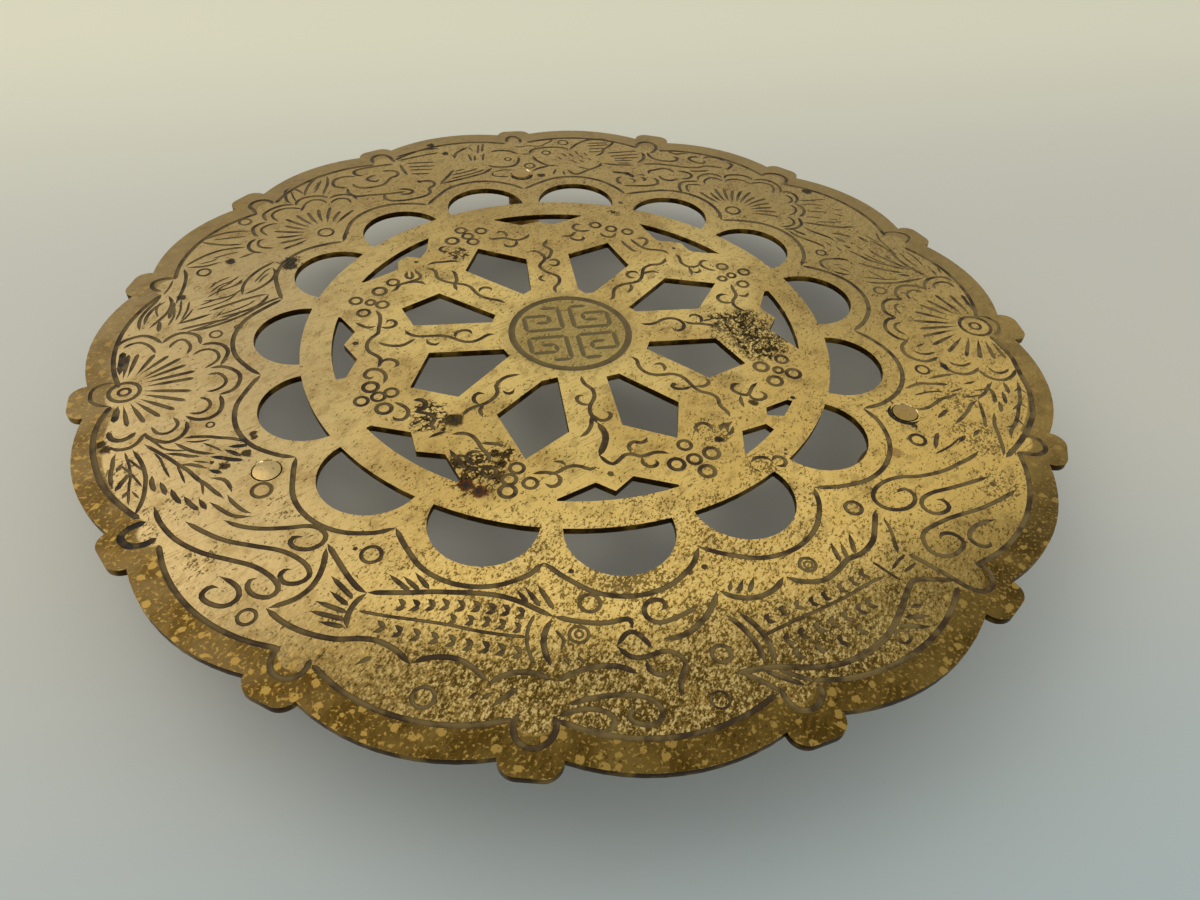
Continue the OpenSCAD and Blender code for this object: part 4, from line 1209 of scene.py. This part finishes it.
nicks = [
    [(-97.8, -31.4), (-98.7, -34)],
    [(-95.9, -34.6), (-96.9, -36.6), (-98, -39.5)],
    [(-95.5, -39.5), (-96.4, -41.6)],
    [(-91.7, -36), (-91.4, -38.4), (-90.5, -40.7)],
    [(-89.9, -38.1), (-89, -40.1), (-88.3, -42)],
    [(-87.6, -40.3), (-86.7, -42.5), (-85.2, -44.8)],
    [(-84.9, -42.8), (-83.5, -45.1), (-81.7, -47.1)],
    [(-82, -43.9), (-81.1, -45.7), (-80.3, -47.1)],
    [(-77.9, -29.7), (-75, -29.9), (-73.5, -29.6)],
    [(-78.5, -30.5), (-76.8, -31.6), (-75, -33)],
    [(-81.1, -32.2), (-79.1, -32.8), (-76.8, -33.7), (-74.4, -34.3)],
    [(-81.1, -36), (-78.2, -37.5)],
    [(-94.9, 25), (-95.2, 21.5), (-95.4, 18)],
    [(-97.4, 17.5), (-97.1, 13)],
    [(-83.4, 31.2), (-81.8, 33.2)],
    [(-86.8, 30.7), (-86, 33)],
    [(-81.2, 30.3), (-79.5, 32.6)],
    [(-77, 22.2), (-75.8, 23.4)],
    [(74.7, 40.3), (76, 38.3), (77.7, 36.5)],
    [(85.5, 36.4), (87.3, 36.3), (90.7, 34)],
    [(85.8, 34.6), (86.8, 32.6), (88.1, 31.1)],
    [(92.9, 34.1), (94.9, 30.3)],
    [(86.4, 30.2), (88.2, 27.8)],
    [(90.5, 39.7), (94, 39.3)],
    [(95.8, 13.4), (99, 12)],
    [(85, 21.2), (84.8, 19.7)],
    [(98.3, -37.8), (97.6, -40), (96.7, -42.2)],
    [(95.5, -41), (94.9, -42.9), (93.9, -44.7)],
    [(95.8, -35.7), (95.7, -37.6), (95.2, -39.6), (94.1, -41.5)],
    [(77.8, -44.3), (80, -43), (81.6, -41.8)],
    [(72.3, -53.8), (74.2, -50.6), (75.5, -48.9)],
    [(78.7, -52.7), (81.3, -50.7)],
    [(82.9, -51.5), (85.5, -49.4)],
    [(88.4, -47), (87.4, -49.1)],
    [(100.5, -34.6), (100, -37.3), (99.4, -38.8)],
    [(82, -32.5), (86.2, -33.5)],
    [(88.4, -25), (88.6, -27.3), (89.3, -29)],
]
motif(nicks, width=1.15, rise=1.8, fall=1.2)

# Cloud scrolls
# Curling clouds along the rear, on both sides of the birds.
clouds = [
    [(-39, 93.5), (-43, 92.8), (-46, 92), (-49.3, 91), (-51, 89.5), (-50.5, 87.5), (-48, 86.5)],
    [(-50.5, 86.3), (-54, 86.5), (-56.5, 85), (-57.3, 82.8), (-56.5, 80.5), (-54.5, 79.7), (-53, 79.5)],
    [(-42.8, 89), (-39.5, 89), (-37.8, 87.5), (-38.3, 85.5), (-40, 84.5), (-41, 82.5), (-42.5, 80.3),
     (-46, 79), (-49, 79), (-51, 80.5), (-51.3, 82)],
    [(-53, 79), (-52.5, 76), (-50.5, 74), (-47, 74.2), (-41, 74.5), (-36, 75.3)],
    [(-44.3, 86.3), (-46, 86), (-47.2, 84.3), (-46, 83), (-44.5, 82.7), (-43.5, 83.8)],
    [(-42, 74.5), (-42.3, 72), (-40.5, 70.3), (-37, 70), (-33, 71), (-30, 72.3), (-28.8, 74), (-29, 76.5),
     (-27.3, 78.3), (-27.5, 80.5), (-29, 81.3), (-32, 81.2)],
    [(-38.3, 77), (-36, 76.8), (-34.3, 76), (-34, 74.8), (-35.5, 73.7), (-38, 74)],
    [(43.8, 93.5), (43.7, 91), (45, 88.5), (47.5, 87), (50.5, 86.4), (52.2, 87.2), (52.5, 88.7),
     (51.3, 89.8)],
    [(50.5, 94), (52, 92), (53.2, 91.2), (55, 91.6), (57.2, 91.2)],
    [(60.3, 88.2), (58, 88.8), (56.4, 87.8), (57, 86), (59, 84.3), (60.8, 84.2), (61, 86)],
    [(61, 87), (62.5, 88.1), (64.5, 88.1), (66.7, 86.5), (68, 84.5)],
    [(40, 85.5), (45, 85), (50, 83.3), (54, 81.7), (58, 81.3), (60.5, 82), (63, 81.3), (66, 80)],
    [(40.5, 78.5), (41, 80.5), (43.5, 81.2), (46, 81.8), (48, 80.7), (49, 78.5)],
    [(50, 79.5), (52, 79), (53.8, 77.5), (53.8, 75.5), (52, 74.3), (50, 74.5)],
    [(43.3, 77.5), (44, 75), (45.5, 73.8), (47.5, 73.8), (49, 74.8)],
    [(36.5, 78.3), (38.3, 78.3), (38.5, 77)],
    [(31.5, 77.8), (30, 77), (29.3, 75), (30.2, 72.7)],
    [(30.5, 72), (34, 71.5), (38, 71), (41, 71.5), (42, 73), (41.8, 75), (41, 76)],
    [(33.5, 76.5), (35, 75), (34, 73.5)],
    [(37, 76.8), (38.5, 75.5), (37.3, 74)],
    [(66.5, 78.5), (68, 80), (69.5, 82), (68.3, 84)],
    [(54, 79.3), (57, 78.7), (61, 79)],
]
motif(clouds, width=1.1, rise=1.6, fall=1.6)
deep_curl = [(29, 81.3), (31, 80.7), (33.3, 79.8), (34.6, 78.3), (34.8, 76.8)]
groove(deep_curl, width=1.3, rise=1, fall=1, lift=0.1)

# Two birds
# They face each other over the rear leg, with barred tails and ticked feathers.
birds = [
    [(-8, 98.5), (-6, 99.5), (-2, 99), (0, 97.5), (1.3, 96.3)],
    [(0.8, 94.5), (0.5, 92), (-1, 89), (-4, 88), (-8, 88.5), (-10, 90)],
    [(-19.8, 95), (-19, 98.5), (-17, 101), (-14.5, 103)],
    [(-38, 98), (-30, 102), (-24, 103)],
    [(-37.5, 95.5), (-30, 98.3), (-24, 100)],
    [(-37, 93), (-36, 89), (-35, 85.5)],
    [(-20.5, 88), (-22.5, 84), (-25.5, 79)],
    [(-25.5, 79), (-20, 81), (-15, 83), (-11, 85), (-8.5, 88)],
    [(4.5, 96), (6, 99), (10, 100.3), (15, 100), (17.5, 98.5), (17.5, 97)],
    [(1.5, 96.5), (5, 96)],
    [(5.5, 95), (6, 92), (8, 89), (10, 87.5), (12.5, 87.5)],
    [(18, 97.5), (20.5, 100.8), (23, 103), (26, 104.5), (30, 104.7), (32.5, 104.3)],
    [(34.5, 103), (33, 100.5), (31, 98.3), (29.5, 97), (28.5, 94.5), (26, 92.5)],
    [(41.5, 94), (42, 92), (41.2, 89), (39.3, 87), (38.5, 86)],
    [(26.5, 88), (26.3, 86.3), (24.5, 84.8), (21.5, 83.2), (17, 81), (15, 84.5)],
    [(3.5, 84), (6, 86), (10, 87.5)],
    [(27, 87.3), (31, 86), (37, 85)],
]
motif(birds, width=1.1, rise=2, fall=2)
feathers = [
    [(-14.5, 103), (-13.5, 100.5)],
    [(-11, 104.5), (-12, 98)],
    [(-9.5, 105), (-10.5, 99)],
    [(-13, 97), (-13.5, 93)],
    [(-15, 98), (-14.5, 93)],
    [(-10, 98), (-11, 93)],
    [(-26, 93.5), (-35, 93.5)],
    [(-26, 91), (-34.5, 91)],
    [(-27, 88.7), (-34, 89)],
    [(-28, 86), (-34, 86.3)],
    [(-22, 82), (-15, 84.7), (-11, 87)],
    [(-21.5, 84.3), (-16, 86.3), (-13, 88)],
    [(-20.5, 86.5), (-17, 88)],
    [(25, 102), (32, 101.7)],
    [(24.5, 100), (32, 100.2)],
    [(24.5, 97.8), (30, 98)],
    [(24, 95.7), (28.5, 95.6)],
    [(30, 94.3), (40.3, 94.8)],
    [(30.5, 92), (40.3, 92.5)],
    [(31.5, 90.3), (40, 90.3)],
    [(31.5, 88.8), (37.5, 88.3)],
    [(32, 87), (36.5, 86.6)],
    [(11.5, 85), (10, 81.5)],
    [(13.5, 83.5), (13.5, 80.5)],
    [(18.5, 86), (22, 83.7)],
    [(15, 96), (16.5, 93)],
    [(17.5, 95.5), (18.5, 92.5)],
    [(19.8, 97), (20.5, 94)],
    [(20.8, 93.5), (21.7, 91.5)],
    [(22.5, 95.5), (23.3, 93)],
    [(17, 91), (19, 88.5)],
    [(20, 90.5), (21.5, 88.5)],
    [(13.5, 93.5), (14.5, 91)],
    [(23, 91.5), (24, 89.7)],
]
motif(feathers, width=0.8, rise=1.2, fall=1.2)
ring(-2.8, 93.2, radius=1.0, width=0.6)
ring(10.2, 96.5, radius=1.3, width=0.7)
thin_curls = [
    [(0.5, 102.5), (2, 101.5), (5, 102), (9, 101.5), (11, 103), (13.5, 105.3), (12, 106.3), (7, 105.5),
     (5, 105)],
    [(-8.5, 85), (-5, 86), (-2, 85.5)],
    [(-8.5, 85), (-9, 83), (-7.5, 82), (-4, 81.5)],
]
motif(thin_curls, width=0.7, rise=1.5, fall=1.5)

# Punched rings
# Single rings struck into the bare places between the motifs.
single_rings = [
    (17, 103.3), (3.5, 88), (-81, 62.5), (-89.4, 37.8), (87.2, 6.4), (82.7, -27.3), (-71, -74),
    (31.7, -79.6),
]
rings(single_rings, radius=1.6, width=0.75)
rings([(78.3, 26.8), (-83.9, 10.2), (42.7, -98)], radius=1.35, width=0.65)
rings([(9.2, -95.7), (46.7, -67.3), (69.7, -50.4)], radius=1.7, width=0.9)
ring(6.3, -104.2, radius=1.6, width=0.55)
rings([(-11.3, -81.3), (-49.5, -63.5), (-42, -95), (-70.3, -43.5)], radius=1.9, width=0.85)
rings([(-82, -22.3), (-79, 12.5), (31.8, -79.7)], radius=0.8, width=0.5)

# Crescents beside the heads of two legs
# The punch that spread the pegs slipped off their edges. The black laid in them is painted shadow of the
# heads.
right_crescent = [around(a, 3.7, right_head) for a in (130, 165, 200, 235, 270, 300)]
rear_crescent = [around(a, 3.5, rear_head) for a in (190, 230, 270, 310, 350)]
groove(right_crescent, width=1.2, rise=3, fall=3, lift=0.05)
groove(rear_crescent, width=1.3, rise=2, fall=2, lift=0.05)

# Knocks and pits
# Small round pits where the metal was knocked or eaten away.
for x, y, radius in (
    (-83, 42.3, 1.2), (-67.7, 40.8, 1.4), (-67.9, 38.4, 1.5), (-22.3, 99, 1.0), (-13.3, -73.6, 0.6),
    (-52.4, -61.6, 0.5), (29.7, 81, 0.8), (33, 80, 0.8), (34.6, 78.6, 1.1), (18.7, 75, 0.5),
    (27.2, 61.5, 0.9), (8.7, -77.5, 0.8), (11.8, -76.8, 0.7), (79.5, -65.8, 0.8), (-0.5, -49.9, 0.8),
    (-26, 105.5, 0.8), (32, -98, 0.5), (-28.5, -44, 0.9), (-24, 39.5, 1.2), (-22.4, 40.8, 0.8),
    (-51.6, 2.1, 0.9), (46.8, -32.5, 0.7), (36.5, 34.3, 0.6), (-35.3, 36, 0.7), (-30.8, -28.5, 1.3),
    (-30.3, -48.5, 1.1), (-28, -50.6, 1.0), (20.5, -23.8, 0.7), (38.9, -48.8, 0.4), (38.4, -50, 0.4),
    (25.3, -43.5, 0.9),
):
    pit(x, y, radius)

# The cut sheet
# All the tools cut the sheet at once. Their marks keep a dark patina, darkest at the lips where
# painted shade is added, and the sawn walls stay dull where no hand reaches them, their dark
# brown partly painted shade.
cutting = plate.modifiers.new("engraving", "BOOLEAN")
cutting.operation = "DIFFERENCE"
cutting.operand_type = "COLLECTION"
cutting.collection = engraving
cutting.solver = "MANIFOLD"
bpy.context.view_layer.update()
ready = bpy.context.evaluated_depsgraph_get()
engraved = bpy.data.meshes.new_from_object(plate.evaluated_get(ready))
plate.modifiers.clear()
plate.data = engraved
bpy.data.meshes.remove(plate_mesh)
for shape in list(engraving.objects):
    bpy.data.meshes.remove(shape.data)
bpy.data.collections.remove(engraving)

finish = bmesh.new()
finish.from_mesh(engraved)
# How far up the normal points on a level face and on a steep one
level = 0.9995
steep = 0.35
for face in finish.faces:
    face.smooth = abs(face.normal.z) < level
    if face.material_index == WORN and face.smooth:
        face.material_index = SAWN if abs(face.normal.z) < steep else RUBBED_GLINT
for edge in finish.edges:
    shading = [face.smooth for face in edge.link_faces]
    edge.smooth = len(set(shading)) == 1 and edge.calc_face_angle(0) < math.radians(50)
finish.to_mesh(engraved)
finish.free()
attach(plate, "root")
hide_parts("plate")

# Legs
# Three cast brass legs. Each has a turned collar under the sheet, and a peg that is riveted
# over in the countersunk hole.
cast_brass, tree, metal, place = new_material("cast_brass")
axes = add(tree, "SeparateXYZ", {"Vector": place})
film = ramp(tree, grain(tree, place, 7, detail=4), 0.42, 0.66)
rubbed_head = ramp(tree, axes.outputs["Z"], top_z - 1.2 * MM, top_z - 0.3 * MM)
# The head on the left is paler, with the same painted pale sheen that lies on the left of the sheet.
toward_right = ramp(tree, axes.outputs["X"], -0.05, 0.0)
head_colour = tint(tree, shade("#C0A673"), shade("#AE8D50"), toward_right)
specks = ramp(tree, grain(tree, place, 0.8, detail=4), 0.6, 0.7)
colour = tint(tree, shade("#A98848"), shade("#765A2A"), film)
colour = tint(tree, colour, head_colour, times(tree, rubbed_head, 0.85))
wire(tree, metal, {
    "Base Color": coated(tree, colour, [("#4E3A16", specks, 0.6)]),
    "Roughness": 0.4,
    "Normal": bumps(tree, grain(tree, place, 1.1, detail=4), strength=0.35, depth=0.25),
})
for name in ("leg_rear", "leg_left", "leg_right"):
    leg = frame["nodes"][name]
    leg.data.materials.clear()
    leg.data.materials.append(cast_brass)

# Floor and light
# A pale table, painted lighter and warmer behind the trivet and darker and cooler in front of
# it as painted light and shadow, under a soft box that stands behind the trivet, to its left,
# and a small fill in front that glints on the rubbed edges.
ground = bmesh.new()
bmesh.ops.create_grid(ground, x_segments=1, y_segments=1, size=2.5)
floor_mesh = bpy.data.meshes.new("floor")
ground.to_mesh(floor_mesh)
ground.free()
floor = bpy.data.objects.new("floor", floor_mesh)
bpy.context.scene.collection.objects.link(floor)
pale_stone, tree, stone, place = new_material("pale_stone")
away = add(tree, "SeparateXYZ", {"Vector": place}).outputs["Y"]
# Painted shadow: darker and cooler towards the front; painted light: lighter and warmer towards the rear.
colour = tint(tree, shade("#BBB7AC"), shade("#A3ADAE"), ramp(tree, away, -0.02, -0.16))
colour = tint(tree, colour, shade("#D6D0B9"), ramp(tree, away, 0.06, 0.3))
wire(tree, stone, {"Base Color": colour, "Metallic": 0, "Roughness": 0.6})
floor_mesh.materials.append(pale_stone)

studio = bpy.data.worlds.new("studio")
studio.use_nodes = True
sky = studio.node_tree.nodes["Background"]
wire(studio.node_tree, sky, {"Color": shade("#E9EEEC"), "Strength": 0.9})
bpy.context.scene.world = studio


def area_light(name, size, energy, spot, colour=(1, 1, 1)):
    """A square lamp that shines on the trivet."""
    light = bpy.data.lights.new(name, "AREA")
    light.size = size
    light.energy = energy
    light.color = colour
    lamp = bpy.data.objects.new(name, light)
    lamp.location = spot
    lamp.rotation_mode = "QUATERNION"
    lamp.rotation_quaternion = (-lamp.location).to_track_quat("-Z", "Y")
    bpy.context.scene.collection.objects.link(lamp)


area_light("soft_box", size=1.4, energy=8, spot=(-0.95, 0.55, 1.25), colour=(1.0, 0.93, 0.82))
area_light("fill", size=0.4, energy=2.5, spot=(0.3, -1.0, 1.1))
bpy.context.scene.view_settings.view_transform = "Standard"
